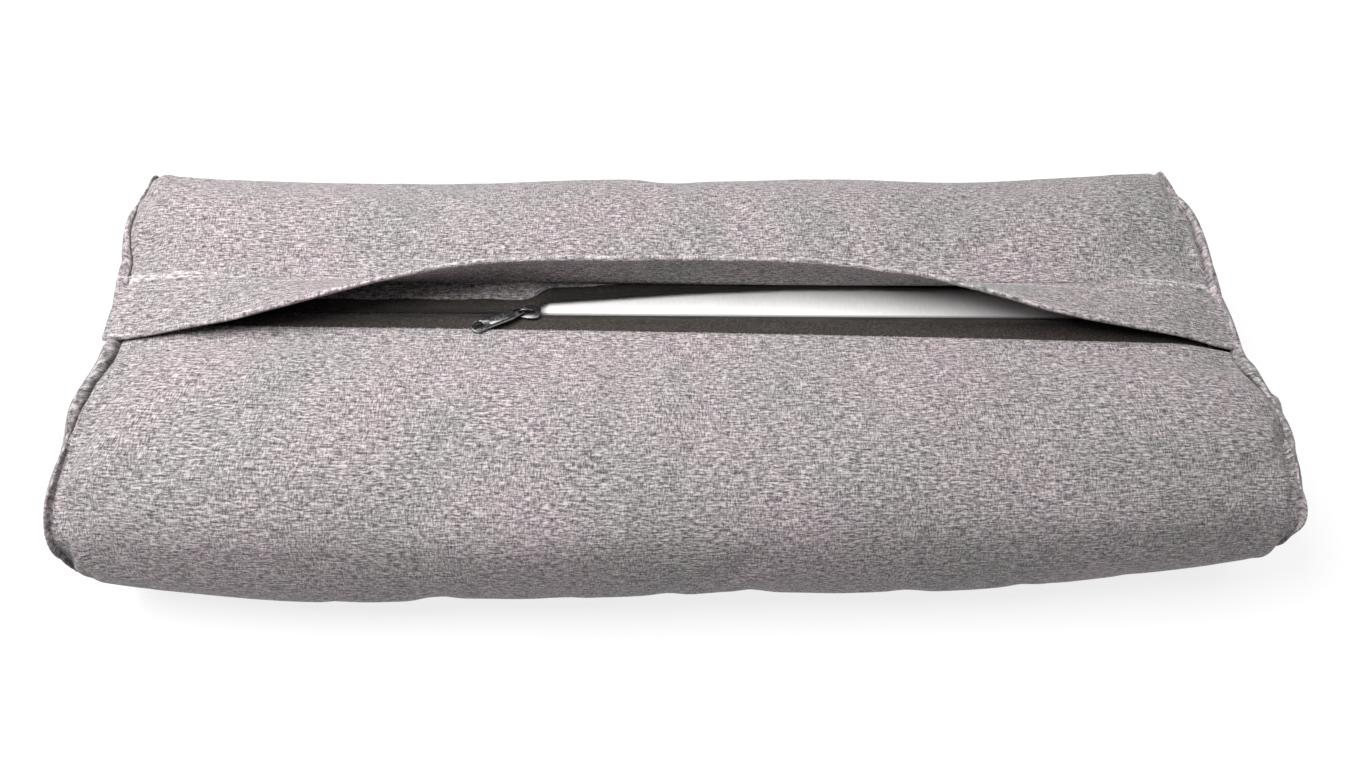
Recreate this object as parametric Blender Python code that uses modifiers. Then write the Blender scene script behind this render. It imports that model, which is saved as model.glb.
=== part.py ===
"""Rectangular bolster pillow: a sewn cloth cover with a zipped mouth under a flap, over a cased inner pillow.

Frame: +X along the pillow, +Y to the back, +Z up. The origin is on the resting surface under the centre.
Units are metres.
"""

import math

import bmesh
import bpy
from mathutils import Matrix, Vector

# ---------------------------------------------------------------- dimensions
GAP = 0.0003            # clearance between touching pieces

SEAM_X = 0.2990         # end seams, either side of the centre
END_BULGE = 0.0048      # how far an end panel swells past its seam
HALF_W = 0.1240         # half width at mid length
HALF_W_END = 0.1190     # half width at the end seams
TOP_Z = 0.0965          # outer face of the top
BASE_Z = -0.0015        # the section dips this far under the floor and is cut flat at z = 0
END_LIFT = 0.0240       # the underside rises this far at the end seams
LIFT_FROM = 0.190       # the underside is level up to here
ROUND_N = 4.8           # superellipse exponent of the section
CLOTH_T = 0.0009        # cover cloth, with its lining of turned edges

# zip, along X
ZIP_Y = 0.0065          # line where the two chain halves meet
ZIP_Z = 0.0947          # middle of the tape's thickness
TAPE_T = 0.0006
COIL_W = 0.0028         # one chain half
COIL_H = 0.0017
TAPE_W = 0.0137         # one tape, beside its coil
TAPE_X = 0.2870         # the tapes end here, either side
TACK_X = 0.2720         # bar tacks
FRONT_EDGE_Y = -0.0065  # front edge of the mouth in the wrap
REAR_EDGE_Y = 0.0285    # rear edge of the mouth in the wrap
LIP_OPEN = 0.0185       # how far the rear chain half stands back where the zip is open
LIP_FROM, LIP_FULL = -0.0790, 0.0050      # left transition of the rear lip
LIP_BACK, LIP_END = 0.1500, 0.2720        # right transition

# slider and pull
SLIDER_X = -0.0833
SLIDER_L = 0.0155
SLIDER_W = 0.0090
PLATE_T = 0.00075
CHANNEL_H = 0.0025
CHANNEL_W = 0.0066
TAPE_SLOT = 0.0012
POST = (0.0030, 0.0012)  # length and width of the post that joins the two plates
BRIDGE_L, BRIDGE_W, BRIDGE_T = 0.0090, 0.0018, 0.0008
BRIDGE_CLEAR = 0.0017    # room under the bridge
PULL_L, PULL_W, PULL_T = 0.0250, 0.0076, 0.0012
PULL_YAW = math.radians(180.0 + 26.0)     # the tab points to the front left
PULL_AXIS_X = SLIDER_X - 0.0022
PULL_EYE = 0.0246                         # from the hinge to the middle of the round eye
PULL_EYE_R, PULL_HOLE_R = 0.0043, 0.0028
PULL_WINDOW = (0.0044, 0.0054)            # length and width of the loop's window

# flap
HINGE_Y, HINGE_Z = 0.0265, 0.0976
FLAP_W, FLAP_T = 0.0310, 0.0014
FLAP_LIFT = math.radians(76.0)            # how far the middle of the flap is lifted
FLAP_MID = (-0.0600, 0.0450)              # the part that swings as a whole
FLAP_END_X = 0.2985

# inner pillow
INNER_IN = 0.0036       # how far the case stands inside the cover at the sides
INNER_TOP = 0.0920
INNER_FLOOR = 0.0012
INNER_X = 0.2925
CASE_T = 0.0006

# ---------------------------------------------------------------- scene
for old in list(bpy.data.objects):
    bpy.data.objects.remove(old, do_unlink=True)

scene = bpy.context.scene


def collection(name):
    found = bpy.data.collections.new(name)
    scene.collection.children.link(found)
    return found


PARTS = collection("bolster_pillow")
CUTTERS = collection("cutters")


def material(name, rgb, roughness, metallic=0.0):
    m = bpy.data.materials.new(name)
    m.use_nodes = True
    shader = m.node_tree.nodes["Principled BSDF"]
    shader.inputs["Base Color"].default_value = (*rgb, 1.0)
    shader.inputs["Roughness"].default_value = roughness
    shader.inputs["Metallic"].default_value = metallic
    m.diffuse_color = (*rgb, 1.0)
    return m


HEATHER = material("heather_cloth", (0.33, 0.31, 0.32), 0.95)
TAPE = material("zip_tape", (0.030, 0.027, 0.027), 0.85)
NYLON = material("zip_coil", (0.022, 0.020, 0.020), 0.45)
METAL = material("slider_metal", (0.030, 0.030, 0.032), 0.35, 0.6)
THREAD = material("sewing_thread", (0.10, 0.095, 0.10), 0.8)
WHITE = material("inner_cloth", (0.90, 0.90, 0.89), 0.9)
FIBRE = material("fibre_filling", (0.86, 0.86, 0.84), 1.0)


def add(name, mesh, mat, coll=PARTS):
    obj = bpy.data.objects.new(name, mesh)
    coll.objects.link(obj)
    if mat is not None:
        mesh.materials.append(mat)
    return obj


def box(name, size, centre, mat, coll=PARTS):
    """A box of the given size with its middle at centre."""
    bm = bmesh.new()
    bmesh.ops.create_cube(bm, size=1.0)
    bmesh.ops.scale(bm, vec=Vector(size), verts=bm.verts)
    mesh = bpy.data.meshes.new(name)
    bm.to_mesh(mesh)
    bm.free()
    obj = add(name, mesh, mat, coll)
    obj.location = centre
    return obj


def rod(name, radius, depth, centre, mat, axis="Z", segments=24, flat=(1.0, 1.0), coll=PARTS):
    """A capped cylinder along axis, its section scaled by flat."""
    bm = bmesh.new()
    bmesh.ops.create_cone(bm, cap_ends=True, segments=segments, radius1=radius, radius2=radius, depth=depth)
    bmesh.ops.scale(bm, vec=Vector((flat[0], flat[1], 1.0)), verts=bm.verts)
    if axis == "X":
        bmesh.ops.rotate(bm, cent=(0, 0, 0), matrix=Matrix.Rotation(math.pi / 2, 3, "Y"), verts=bm.verts)
    mesh = bpy.data.meshes.new(name)
    bm.to_mesh(mesh)
    bm.free()
    obj = add(name, mesh, mat, coll)
    obj.location = centre
    return obj


def cutter(obj):
    obj.hide_render = True
    obj.display_type = "WIRE"
    return obj


def boolean(obj, other, operation="DIFFERENCE"):
    m = obj.modifiers.new(other.name, "BOOLEAN")
    m.operation = operation
    m.solver = "EXACT"
    m.object = other
    return m


def bevel(obj, width, segments=1, angle=40.0):
    m = obj.modifiers.new("bevel", "BEVEL")
    m.width = width
    m.segments = segments
    m.limit_method = "ANGLE"
    m.angle_limit = math.radians(angle)
    return m


def solidify(obj, thickness, offset):
    m = obj.modifiers.new("thickness", "SOLIDIFY")
    m.thickness = thickness
    m.offset = offset
    m.use_even_offset = True
    m.use_rim = True
    return m


def mapped_grid(name, nu, nv, point, mat, close_v=False, cap=False):
    """A grid of nu by nv cells, each corner moved to point(u, v) with u and v from 0 to 1."""
    bm = bmesh.new()
    bmesh.ops.create_grid(bm, x_segments=nu, y_segments=nv, size=0.5)
    for v in bm.verts:
        v.co = Vector(point(v.co.x + 0.5, v.co.y + 0.5))
    if close_v:
        bmesh.ops.remove_doubles(bm, verts=bm.verts, dist=1e-6)
    if cap:
        bmesh.ops.holes_fill(bm, edges=[e for e in bm.edges if e.is_boundary], sides=0)
    bmesh.ops.recalc_face_normals(bm, faces=bm.faces)
    mesh = bpy.data.meshes.new(name)
    bm.to_mesh(mesh)
    bm.free()
    return add(name, mesh, mat)


def face_outward(obj, inside):
    """Turns an open sheet's faces away from the point inside."""
    mesh = obj.data
    near = min(mesh.polygons, key=lambda p: (p.center - Vector((0, 0, 0))).length)
    if near.normal.dot(near.center - Vector(inside)) < 0:
        mesh.flip_normals()


def smooth(t):
    t = max(0.0, min(1.0, t))
    return t * t * (3.0 - 2.0 * t)


# ---------------------------------------------------------------- the pillow's section
def half_width(x):
    s = min(1.0, abs(x) / SEAM_X)
    return HALF_W - (HALF_W - HALF_W_END) * s ** 4


def floor_lift(x):
    s = max(0.0, (abs(x) - LIFT_FROM) / (SEAM_X - LIFT_FROM))
    return END_LIFT * s * s


def power(value, p):
    return math.copysign(abs(value) ** p, value)


def section_point(x, angle, inset=0.0, top=TOP_Z, floor=0.0, base=BASE_Z):
    """Point on the section at x. angle 0 is the back, 90 degrees the top, 180 the front and 270 the underside."""
    a = half_width(x) - inset
    low = base + floor_lift(x) + floor
    mid, h = (top + low) / 2.0, (top - low) / 2.0
    y = a * power(math.cos(angle), 2.0 / ROUND_N)
    z = mid + h * power(math.sin(angle), 2.0 / ROUND_N)
    return (x, y, max(z, floor))


def edge_angle(x, y):
    """The angle at which the section's top passes y."""
    c = power(y / half_width(x), ROUND_N / 2.0)
    return math.acos(c)


STATIONS = [-1.0, -0.965, -0.91, -0.82, -0.68, -0.45, -0.2, 0.0, 0.2, 0.45, 0.68, 0.82, 0.91, 0.965, 1.0]


def station(u):
    k = u * (len(STATIONS) - 1)
    i = min(int(k + 1e-6), len(STATIONS) - 2)
    return STATIONS[i] + (STATIONS[i + 1] - STATIONS[i]) * (k - i)


# ---------------------------------------------------------------- cover
def wrap_point(u, v):
    x = SEAM_X * station(u)
    start = edge_angle(x, FRONT_EDGE_Y)
    stop = edge_angle(x, REAR_EDGE_Y) + 2.0 * math.pi
    return section_point(x, start + (stop - start) * v)


cover_wrap = mapped_grid("cover_wrap", len(STATIONS) - 1, 44, wrap_point, HEATHER)
face_outward(cover_wrap, (0.0, 0.0, 0.05))
solidify(cover_wrap, CLOTH_T, -1.0)


def end_point(side):
    """The end panel as rings from its seam to its middle, swelling outward."""
    def point(u, v):
        r = (1.0, 0.86, 0.6, 0.3, 0.02)[round(u * 4)]
        x0 = SEAM_X
        _, y, z = section_point(x0, 2.0 * math.pi * v)
        mid = (TOP_Z + END_LIFT) / 2.0
        x = side * (SEAM_X + GAP + CLOTH_T + END_BULGE * (1.0 - r ** 2.4))
        return (x, y * r, mid + (z - mid) * r)
    return point


def end_panel(name, side):
    obj = mapped_grid(name, 4, 40, end_point(side), HEATHER, close_v=True)
    bm = bmesh.new()
    bm.from_mesh(obj.data)
    rim = [e for e in bm.edges if e.is_boundary]
    inner = [e for e in rim if all(abs(v.co.y) < HALF_W_END * 0.1 for v in e.verts)]
    bmesh.ops.holes_fill(bm, edges=inner, sides=0)
    bmesh.ops.recalc_face_normals(bm, faces=bm.faces)
    bm.to_mesh(obj.data)
    bm.free()
    near = max(obj.data.polygons, key=lambda p: abs(p.center.x))
    if near.normal.x * side < 0:
        obj.data.flip_normals()
    m = solidify(obj, CLOTH_T, -1.0)
    m.use_even_offset = False
    return obj


end_panel("cover_end_left", -1.0)
end_panel("cover_end_right", 1.0)

# ---------------------------------------------------------------- flap
def lift_at(x):
    """How far the flap stands open at x: nothing at the end seams, FLAP_LIFT along the middle."""
    if x < FLAP_MID[0]:
        return FLAP_LIFT * smooth((x + 0.306) / (FLAP_MID[0] + 0.306))
    if x > FLAP_MID[1]:
        return FLAP_LIFT * (1.0 - smooth((x - FLAP_MID[1]) / (0.312 - FLAP_MID[1])))
    return FLAP_LIFT


def flap_point(x0, x1):
    def point(u, v):
        x = x0 + (x1 - x0) * u
        r = 0.0004 + (FLAP_W - 0.0004) * v
        a = lift_at(x)
        return (x, HINGE_Y - r * math.cos(a), HINGE_Z + r * math.sin(a))
    return point


def flap_side(name, x0, x1):
    obj = mapped_grid(name, 14, 3, flap_point(x0, x1), HEATHER)
    m = solidify(obj, FLAP_T, 0.0)
    m.use_even_offset = True
    return obj


flap_side("flap_left", -FLAP_END_X, FLAP_MID[0] - GAP)
flap_side("flap_right", FLAP_MID[1] + GAP, FLAP_END_X)

flap_axis = bpy.data.objects.new("flap_axis", None)
PARTS.objects.link(flap_axis)
flap_axis.location = (0.0, HINGE_Y, HINGE_Z)
flap_axis.rotation_euler = (-FLAP_LIFT, 0.0, 0.0)
flap_middle = box("flap_middle", (FLAP_MID[1] - FLAP_MID[0], FLAP_W - 0.0004, FLAP_T),
                  ((FLAP_MID[0] + FLAP_MID[1]) / 2.0, -(FLAP_W + 0.0004) / 2.0, 0.0), HEATHER)
flap_middle.parent = flap_axis

# ---------------------------------------------------------------- zip
TAPE_START = COIL_W + 0.0002 + GAP        # from the meeting line to the tape's near edge

# front half, straight from end to end
box("zip_tape_front", (2 * TAPE_X, TAPE_W, TAPE_T), (0.0, ZIP_Y - TAPE_START - TAPE_W / 2.0, ZIP_Z), TAPE)
rod("zip_coil_front", 0.5, 2 * TAPE_X, (0.0, ZIP_Y - 0.0002 - COIL_W / 2.0, ZIP_Z), NYLON,
    axis="X", segments=10, flat=(COIL_H, COIL_W))

# rear half, meshed with the front half left of the slider
closed_end = SLIDER_X - 0.0010
closed_len = closed_end + TAPE_X
closed_mid = (closed_end - TAPE_X) / 2.0
box("zip_tape_rear_closed", (closed_len, TAPE_W, TAPE_T), (closed_mid, ZIP_Y + TAPE_START + TAPE_W / 2.0, ZIP_Z), TAPE)
rod("zip_coil_rear_closed", 0.5, closed_len, (closed_mid, ZIP_Y + 0.0002 + COIL_W / 2.0, ZIP_Z), NYLON,
    axis="X", segments=10, flat=(COIL_H, COIL_W))


def lip_at(x):
    """How far the rear chain half stands back from the meeting line at x."""
    if x < LIP_BACK:
        return LIP_OPEN * smooth((x - LIP_FROM) / (LIP_FULL - LIP_FROM))
    return LIP_OPEN * (1.0 - smooth((x - LIP_BACK) / (LIP_END - LIP_BACK)))


OPEN_FROM = SLIDER_X + SLIDER_L / 2.0 + 0.0012
OPEN_TO = TACK_X - 0.0045


def open_tape_point(u, v):
    x = OPEN_FROM + (OPEN_TO - OPEN_FROM) * u
    return (x, ZIP_Y + lip_at(x) + TAPE_START + 0.0004 + TAPE_W * v, ZIP_Z)


tape_open = mapped_grid("zip_tape_rear_open", 22, 1, open_tape_point, TAPE)
solidify(tape_open, TAPE_T, 0.0)


def open_coil_point(u, v):
    x = OPEN_FROM + (OPEN_TO - OPEN_FROM) * u
    a = -2.0 * math.pi * v
    return (x, ZIP_Y + lip_at(x) + 0.0002 + COIL_W / 2.0 * (1.0 + math.cos(a)), ZIP_Z + COIL_H / 2.0 * math.sin(a))


mapped_grid("zip_coil_rear_open", 22, 10, open_coil_point, NYLON, close_v=True, cap=True)

# thread bars across the chain that stop the slider
for name, side in (("zip_tack_left", -1.0), ("zip_tack_right", 1.0)):
    tack = box(name, (0.0030, 2 * COIL_W + 0.0030, 0.0007), (side * TACK_X, ZIP_Y, ZIP_Z + COIL_H / 2.0 + GAP + 0.00035), THREAD)
    bevel(tack, 0.0002)

# ---------------------------------------------------------------- slider
slider_axis = bpy.data.objects.new("slider_origin", None)
PARTS.objects.link(slider_axis)
slider_axis.location = (SLIDER_X, ZIP_Y, ZIP_Z)

BODY_H = CHANNEL_H + 2.0 * PLATE_T
slider = box("slider_body", (SLIDER_L, SLIDER_W, BODY_H), (0, 0, 0), METAL)
slider.parent = slider_axis
bevel(slider, 0.0006)
chan = cutter(box("slider_channel", (SLIDER_L * 1.4, CHANNEL_W, CHANNEL_H), (0, 0, 0), None, CUTTERS))
slot = cutter(box("slider_slot", (SLIDER_L * 1.4, SLIDER_W * 1.5, TAPE_SLOT), (0, 0, 0), None, CUTTERS))
post = cutter(box("slider_post", (POST[0], POST[1], CHANNEL_H + PLATE_T),
                  (SLIDER_L / 2.0 - 0.0035, 0.0001 + POST[1] / 2.0, 0), None, CUTTERS))
for c in (chan, slot, post):
    c.parent = slider_axis
boolean(slider, chan)
boolean(slider, slot)
boolean(slider, post, "UNION")

# bridge over the top plate: an upright outline of an arch, as wide as the bridge
PLATE_TOP = BODY_H / 2.0
bridge = box("slider_bridge", (BRIDGE_L, BRIDGE_W, BRIDGE_CLEAR + BRIDGE_T),
             (0, 0, PLATE_TOP + GAP + (BRIDGE_CLEAR + BRIDGE_T) / 2.0 - 0.0003), METAL)
bridge.location.z = PLATE_TOP + 0.00005 + (BRIDGE_CLEAR + BRIDGE_T) / 2.0
bridge.parent = slider_axis
bevel(bridge, 0.0005, 2)
under = cutter(box("bridge_window", (BRIDGE_L - 2 * BRIDGE_T, BRIDGE_W * 2.0, BRIDGE_CLEAR * 2.0),
                   (0, 0, PLATE_TOP + 0.00005), None, CUTTERS))
under.parent = slider_axis
boolean(bridge, under)

# ---------------------------------------------------------------- pull tab
pull_axis = bpy.data.objects.new("pull_axis", None)
PARTS.objects.link(pull_axis)
pull_axis.location = (PULL_AXIS_X, ZIP_Y, ZIP_Z + PLATE_TOP + 0.0009)
pull_axis.rotation_euler = (0.0, 0.0, PULL_YAW)
pull = box("pull_tab", (PULL_L, PULL_W, PULL_T), (PULL_L / 2.0 - 0.0005, 0, 0), METAL)
pull.parent = pull_axis
bevel(pull, 0.0003)
window = cutter(box("pull_window", (PULL_WINDOW[0], PULL_WINDOW[1], PULL_T * 3.0),
                    (0.0005 + PULL_WINDOW[0] / 2.0, 0, 0), None, CUTTERS))
window.parent = pull_axis
eye = cutter(rod("pull_eye", PULL_EYE_R, PULL_T * 0.999, (PULL_EYE, 0, 0), None, segments=24, coll=CUTTERS))
eye.parent = pull_axis
hole = cutter(rod("pull_hole", PULL_HOLE_R, PULL_T * 3.0, (PULL_EYE, 0, 0), None, segments=20, coll=CUTTERS))
hole.parent = pull_axis
boolean(pull, eye, "UNION")
boolean(pull, window)
boolean(pull, hole)

# ---------------------------------------------------------------- inner pillow
def inner_section(x, angle, inset, top, floor):
    """The case follows the cover's section, and stands a little further off it where the underside slopes."""
    extra = 0.0022 * min(1.0, max(0.0, (abs(x) - LIFT_FROM + 0.03) / 0.05))
    return section_point(x, angle, inset=inset, top=top, floor=floor, base=BASE_Z + extra)


def case_point(u, v):
    x = INNER_X * station(u)
    return inner_section(x, 2.0 * math.pi * v, INNER_IN, INNER_TOP, INNER_FLOOR)


case = mapped_grid("inner_case_wrap", len(STATIONS) - 1, 32, case_point, WHITE, close_v=True)
face_outward(case, (0.0, 0.0, 0.05))
solidify(case, CASE_T, -1.0)


def fill_point(u, v):
    x = (INNER_X - 0.0002) * station(u)
    return inner_section(x, 2.0 * math.pi * v, INNER_IN + CASE_T + GAP, INNER_TOP - CASE_T - GAP,
                         INNER_FLOOR + CASE_T + GAP)


mapped_grid("inner_fill", len(STATIONS) - 1, 32, fill_point, FIBRE, close_v=True, cap=True)


def case_end(name, side):
    def point(u, v):
        r = (1.0, 0.5, 0.02)[round(u * 2)]
        _, y, z = inner_section(INNER_X, 2.0 * math.pi * v, INNER_IN, INNER_TOP, INNER_FLOOR)
        mid = (INNER_TOP + END_LIFT) / 2.0
        return (side * (INNER_X + GAP + CASE_T), y * r, mid + (z - mid) * r)
    obj = mapped_grid(name, 2, 32, point, WHITE, close_v=True)
    bm = bmesh.new()
    bm.from_mesh(obj.data)
    inner = [e for e in bm.edges if e.is_boundary and all(abs(v.co.y) < 0.01 for v in e.verts)
             and all(abs(v.co.z - (INNER_TOP + END_LIFT) / 2.0) < 0.01 for v in e.verts)]
    bmesh.ops.holes_fill(bm, edges=inner, sides=0)
    bmesh.ops.recalc_face_normals(bm, faces=bm.faces)
    bm.to_mesh(obj.data)
    bm.free()
    near = obj.data.polygons[0]
    if near.normal.x * side < 0:
        obj.data.flip_normals()
    m = solidify(obj, CASE_T, -1.0)
    m.use_even_offset = False
    return obj


case_end("inner_case_end_left", -1.0)
case_end("inner_case_end_right", 1.0)

for obj in PARTS.objects:
    if obj.type == "MESH":
        obj.data.shade_smooth()
        obj.data.set_sharp_from_angle(angle=math.radians(35.0))
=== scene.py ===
import math

import bmesh
import bpy
import numpy as np
from mathutils.bvhtree import BVHTree
from mathutils import Matrix, Vector


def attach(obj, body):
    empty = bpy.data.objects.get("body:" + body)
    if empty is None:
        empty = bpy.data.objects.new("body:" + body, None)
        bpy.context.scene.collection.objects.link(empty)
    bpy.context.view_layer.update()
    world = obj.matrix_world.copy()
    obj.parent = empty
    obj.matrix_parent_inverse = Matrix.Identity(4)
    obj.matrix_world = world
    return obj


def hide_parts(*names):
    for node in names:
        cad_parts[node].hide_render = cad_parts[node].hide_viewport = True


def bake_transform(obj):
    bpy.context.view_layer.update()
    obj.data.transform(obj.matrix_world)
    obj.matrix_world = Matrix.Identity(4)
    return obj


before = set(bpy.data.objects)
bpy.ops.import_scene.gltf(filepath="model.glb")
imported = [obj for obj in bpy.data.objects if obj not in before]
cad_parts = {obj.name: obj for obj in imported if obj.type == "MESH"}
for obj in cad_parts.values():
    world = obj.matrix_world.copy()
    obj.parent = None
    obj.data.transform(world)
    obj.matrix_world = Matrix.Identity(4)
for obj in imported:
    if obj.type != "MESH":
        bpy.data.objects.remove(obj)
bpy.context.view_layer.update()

scene = bpy.context.scene

# ---------------------------------------------------------------- sizes, in metres, as in the CAD
SEAM_X = 0.2990
HALF_W, HALF_W_END = 0.1240, 0.1190
TOP_Z, BASE_Z = 0.0965, -0.0015
END_LIFT, LIFT_FROM = 0.0240, 0.190
CLOTH_T = 0.0009
ZIP_Y, ZIP_Z = 0.0065, 0.0947
TAPE_T, COIL_W, COIL_H = 0.0006, 0.0028, 0.0017
TAPE_X, TACK_X = 0.2870, 0.2720
LIP_OPEN = 0.0185
LIP_FROM, LIP_FULL = -0.0790, 0.0050
LIP_BACK, LIP_END = 0.1500, 0.2720
SLIDER_X, SLIDER_L, SLIDER_W = -0.0833, 0.0155, 0.0090
PLATE_T, CHANNEL_H, TAPE_SLOT = 0.00075, 0.0025, 0.0012
PULL_YAW = math.radians(206.0)
PULL_AXIS_X = SLIDER_X - 0.0022
PULL_EYE, PULL_EYE_R, PULL_HOLE_R = 0.0246, 0.0043, 0.0028
PULL_W, PULL_T = 0.0076, 0.0012
HINGE_Y, HINGE_Z = 0.0265, 0.0976
FLAP_LIFT = math.radians(76.0)
FLAP_MID = (-0.0660, 0.0450)
FLAP_ENDS = (-0.3060, 0.3120)
CASE_T = 0.0006


# ---------------------------------------------------------------- small helpers
def smooth(t):
    t = np.clip(t, 0.0, 1.0)
    return t * t * (3.0 - 2.0 * t)


def spow(value, p):
    return np.sign(value) * np.abs(value) ** p


def waves(seed, size, count=9):
    """A smooth random field over two coordinates, about -1 to 1, with features of the given size."""
    rng = np.random.RandomState(seed)
    a = rng.uniform(0, 2 * math.pi, count)
    k = 2 * math.pi / (size * rng.uniform(0.75, 1.7, count))
    ph = rng.uniform(0, 2 * math.pi, count)

    def field(x, y):
        x, y = np.asarray(x, float), np.asarray(y, float)
        out = np.zeros(np.broadcast(x, y).shape)
        for i in range(count):
            out = out + np.cos(k[i] * (x * math.cos(a[i]) + y * math.sin(a[i])) + ph[i])
        return out / math.sqrt(count) * 0.9

    return field


def make_mesh(name, verts, faces, mat, uvs=None, smooth_shade=True):
    """uvs is one (u, v) per vertex, in metres along the cloth."""
    mesh = bpy.data.meshes.new(name)
    mesh.from_pydata([tuple(map(float, v)) for v in verts], [], [tuple(map(int, f)) for f in faces])
    if uvs is not None:
        layer = mesh.uv_layers.new(name="cloth")
        uv = np.asarray(uvs, float)
        index = np.zeros(len(mesh.loops), np.int32)
        mesh.loops.foreach_get("vertex_index", index)
        layer.data.foreach_set("uv", uv[index].astype(np.float32).ravel())
    mesh.validate()
    if smooth_shade:
        mesh.shade_smooth()
    obj = bpy.data.objects.new(name, mesh)
    scene.collection.objects.link(obj)
    if mat is not None:
        mesh.materials.append(mat)
    return obj


def grid_faces(nu, nv, wrap_v=False, flip=False, offset=0):
    """Quads of a grid with nu by nv corners, stored row by row along u."""
    out = []
    for i in range(nu - 1):
        for j in range(nv if wrap_v else nv - 1):
            k = (j + 1) % nv
            q = (offset + i * nv + j, offset + (i + 1) * nv + j, offset + (i + 1) * nv + k, offset + i * nv + k)
            out.append(q[::-1] if flip else q)
    return out


def coords(obj):
    co = np.zeros(len(obj.data.vertices) * 3, np.float32)
    obj.data.vertices.foreach_get("co", co)
    return co.reshape(-1, 3).astype(float)


def set_coords(obj, co):
    obj.data.vertices.foreach_set("co", np.asarray(co, np.float32).ravel())
    obj.data.update()


def normals(obj):
    n = np.zeros(len(obj.data.vertices) * 3, np.float32)
    obj.data.vertices.foreach_get("normal", n)
    return n.reshape(-1, 3).astype(float)


def bake_modifiers(obj):
    """The object's mesh becomes what its modifiers make of it."""
    dg = bpy.context.evaluated_depsgraph_get()
    mesh = bpy.data.meshes.new_from_object(obj.evaluated_get(dg), preserve_all_data_layers=True, depsgraph=dg)
    old = obj.data
    obj.modifiers.clear()
    obj.data = mesh
    bpy.data.meshes.remove(old)
    obj.data.name = obj.name
    return obj


def solidify(obj, thickness, offset=-1.0):
    m = obj.modifiers.new("thickness", "SOLIDIFY")
    m.thickness = thickness
    m.offset = offset
    m.use_even_offset = True
    m.use_rim = True
    return m


def subdivide(obj, levels=1):
    m = obj.modifiers.new("subdivision", "SUBSURF")
    m.levels = levels
    m.render_levels = levels
    m.boundary_smooth = "PRESERVE_CORNERS"
    return m


def join(name, objs):
    """One object from several, in world space, keeping materials and the cloth map."""
    verts, faces, uvs, mats, fmat, sm = [], [], [], [], [], []
    for o in objs:
        base = len(verts)
        m = o.matrix_world
        verts.extend([tuple(m @ v.co) for v in o.data.vertices])
        layer = o.data.uv_layers.get("cloth")
        index = []
        for mt in o.data.materials:
            if mt not in mats:
                mats.append(mt)
            index.append(mats.index(mt))
        for p in o.data.polygons:
            faces.append([base + i for i in p.vertices])
            fmat.append(index[p.material_index] if index else 0)
            sm.append(p.use_smooth)
            uvs.extend([tuple(layer.data[i].uv) if layer else (0.0, 0.0) for i in p.loop_indices])
    mesh = bpy.data.meshes.new(name)
    mesh.from_pydata(verts, [], faces)
    layer = mesh.uv_layers.new(name="cloth")
    layer.data.foreach_set("uv", np.asarray(uvs, np.float32).ravel())
    mesh.polygons.foreach_set("material_index", fmat)
    mesh.polygons.foreach_set("use_smooth", sm)
    for mt in mats:
        mesh.materials.append(mt)
    for o in objs:
        bpy.data.objects.remove(o, do_unlink=True)
    obj = bpy.data.objects.new(name, mesh)
    scene.collection.objects.link(obj)
    return obj


def tube(points, radius, sides=6, closed=False, caps=True, flat=(1.0, 1.0), up=(0.0, 0.0, 1.0)):
    """Vertices and faces of a tube along points. flat scales its section sideways and upwards."""
    p = np.asarray(points, float)
    n = len(p)
    r = np.broadcast_to(np.asarray(radius, float), (n,))
    if closed:
        d = np.roll(p, -1, 0) - np.roll(p, 1, 0)
    else:
        d = np.gradient(p, axis=0)
    d /= np.maximum(np.linalg.norm(d, axis=1), 1e-12)[:, None]
    ref = np.tile(np.asarray(up, float), (n, 1))
    side = np.cross(d, ref)
    bad = np.linalg.norm(side, axis=1) < 1e-6
    side[bad] = np.cross(d[bad], np.array([1.0, 0.0, 0.0]))
    side /= np.linalg.norm(side, axis=1)[:, None]
    top = np.cross(side, d)
    a = np.linspace(0, 2 * math.pi, sides, endpoint=False)
    ring = (side[:, None, :] * (np.cos(a) * flat[0])[None, :, None] + top[:, None, :] * (np.sin(a) * flat[1])[None, :, None])
    v = (p[:, None, :] + ring * r[:, None, None]).reshape(-1, 3)
    faces = grid_faces(n, sides, wrap_v=True)
    if closed:
        for j in range(sides):
            k = (j + 1) % sides
            faces.append(((n - 1) * sides + j, j, k, (n - 1) * sides + k))
    elif caps:
        faces.append(tuple(range(sides)))
        faces.append(tuple(range(n * sides - 1, (n - 1) * sides - 1, -1)))
    return v, faces


def gather(parts):
    """One list of vertices and one of faces, from several."""
    verts, faces, base = [], [], 0
    for v, f in parts:
        verts.append(np.asarray(v, float))
        faces.extend([tuple(i + base for i in q) for q in f])
        base += len(v)
    return np.concatenate(verts), faces


# ---------------------------------------------------------------- materials
def principled(name, rgb, roughness, metallic=0.0, **sockets):
    m = bpy.data.materials.new(name)
    m.use_nodes = True
    nt = m.node_tree
    bsdf = nt.nodes["Principled BSDF"]
    bsdf.inputs["Base Color"].default_value = (*rgb, 1.0)
    bsdf.inputs["Roughness"].default_value = roughness
    bsdf.inputs["Metallic"].default_value = metallic
    for key, value in sockets.items():
        bsdf.inputs[key.replace("_", " ")].default_value = value
    m.diffuse_color = (*rgb, 1.0)
    return m, nt, bsdf


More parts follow.
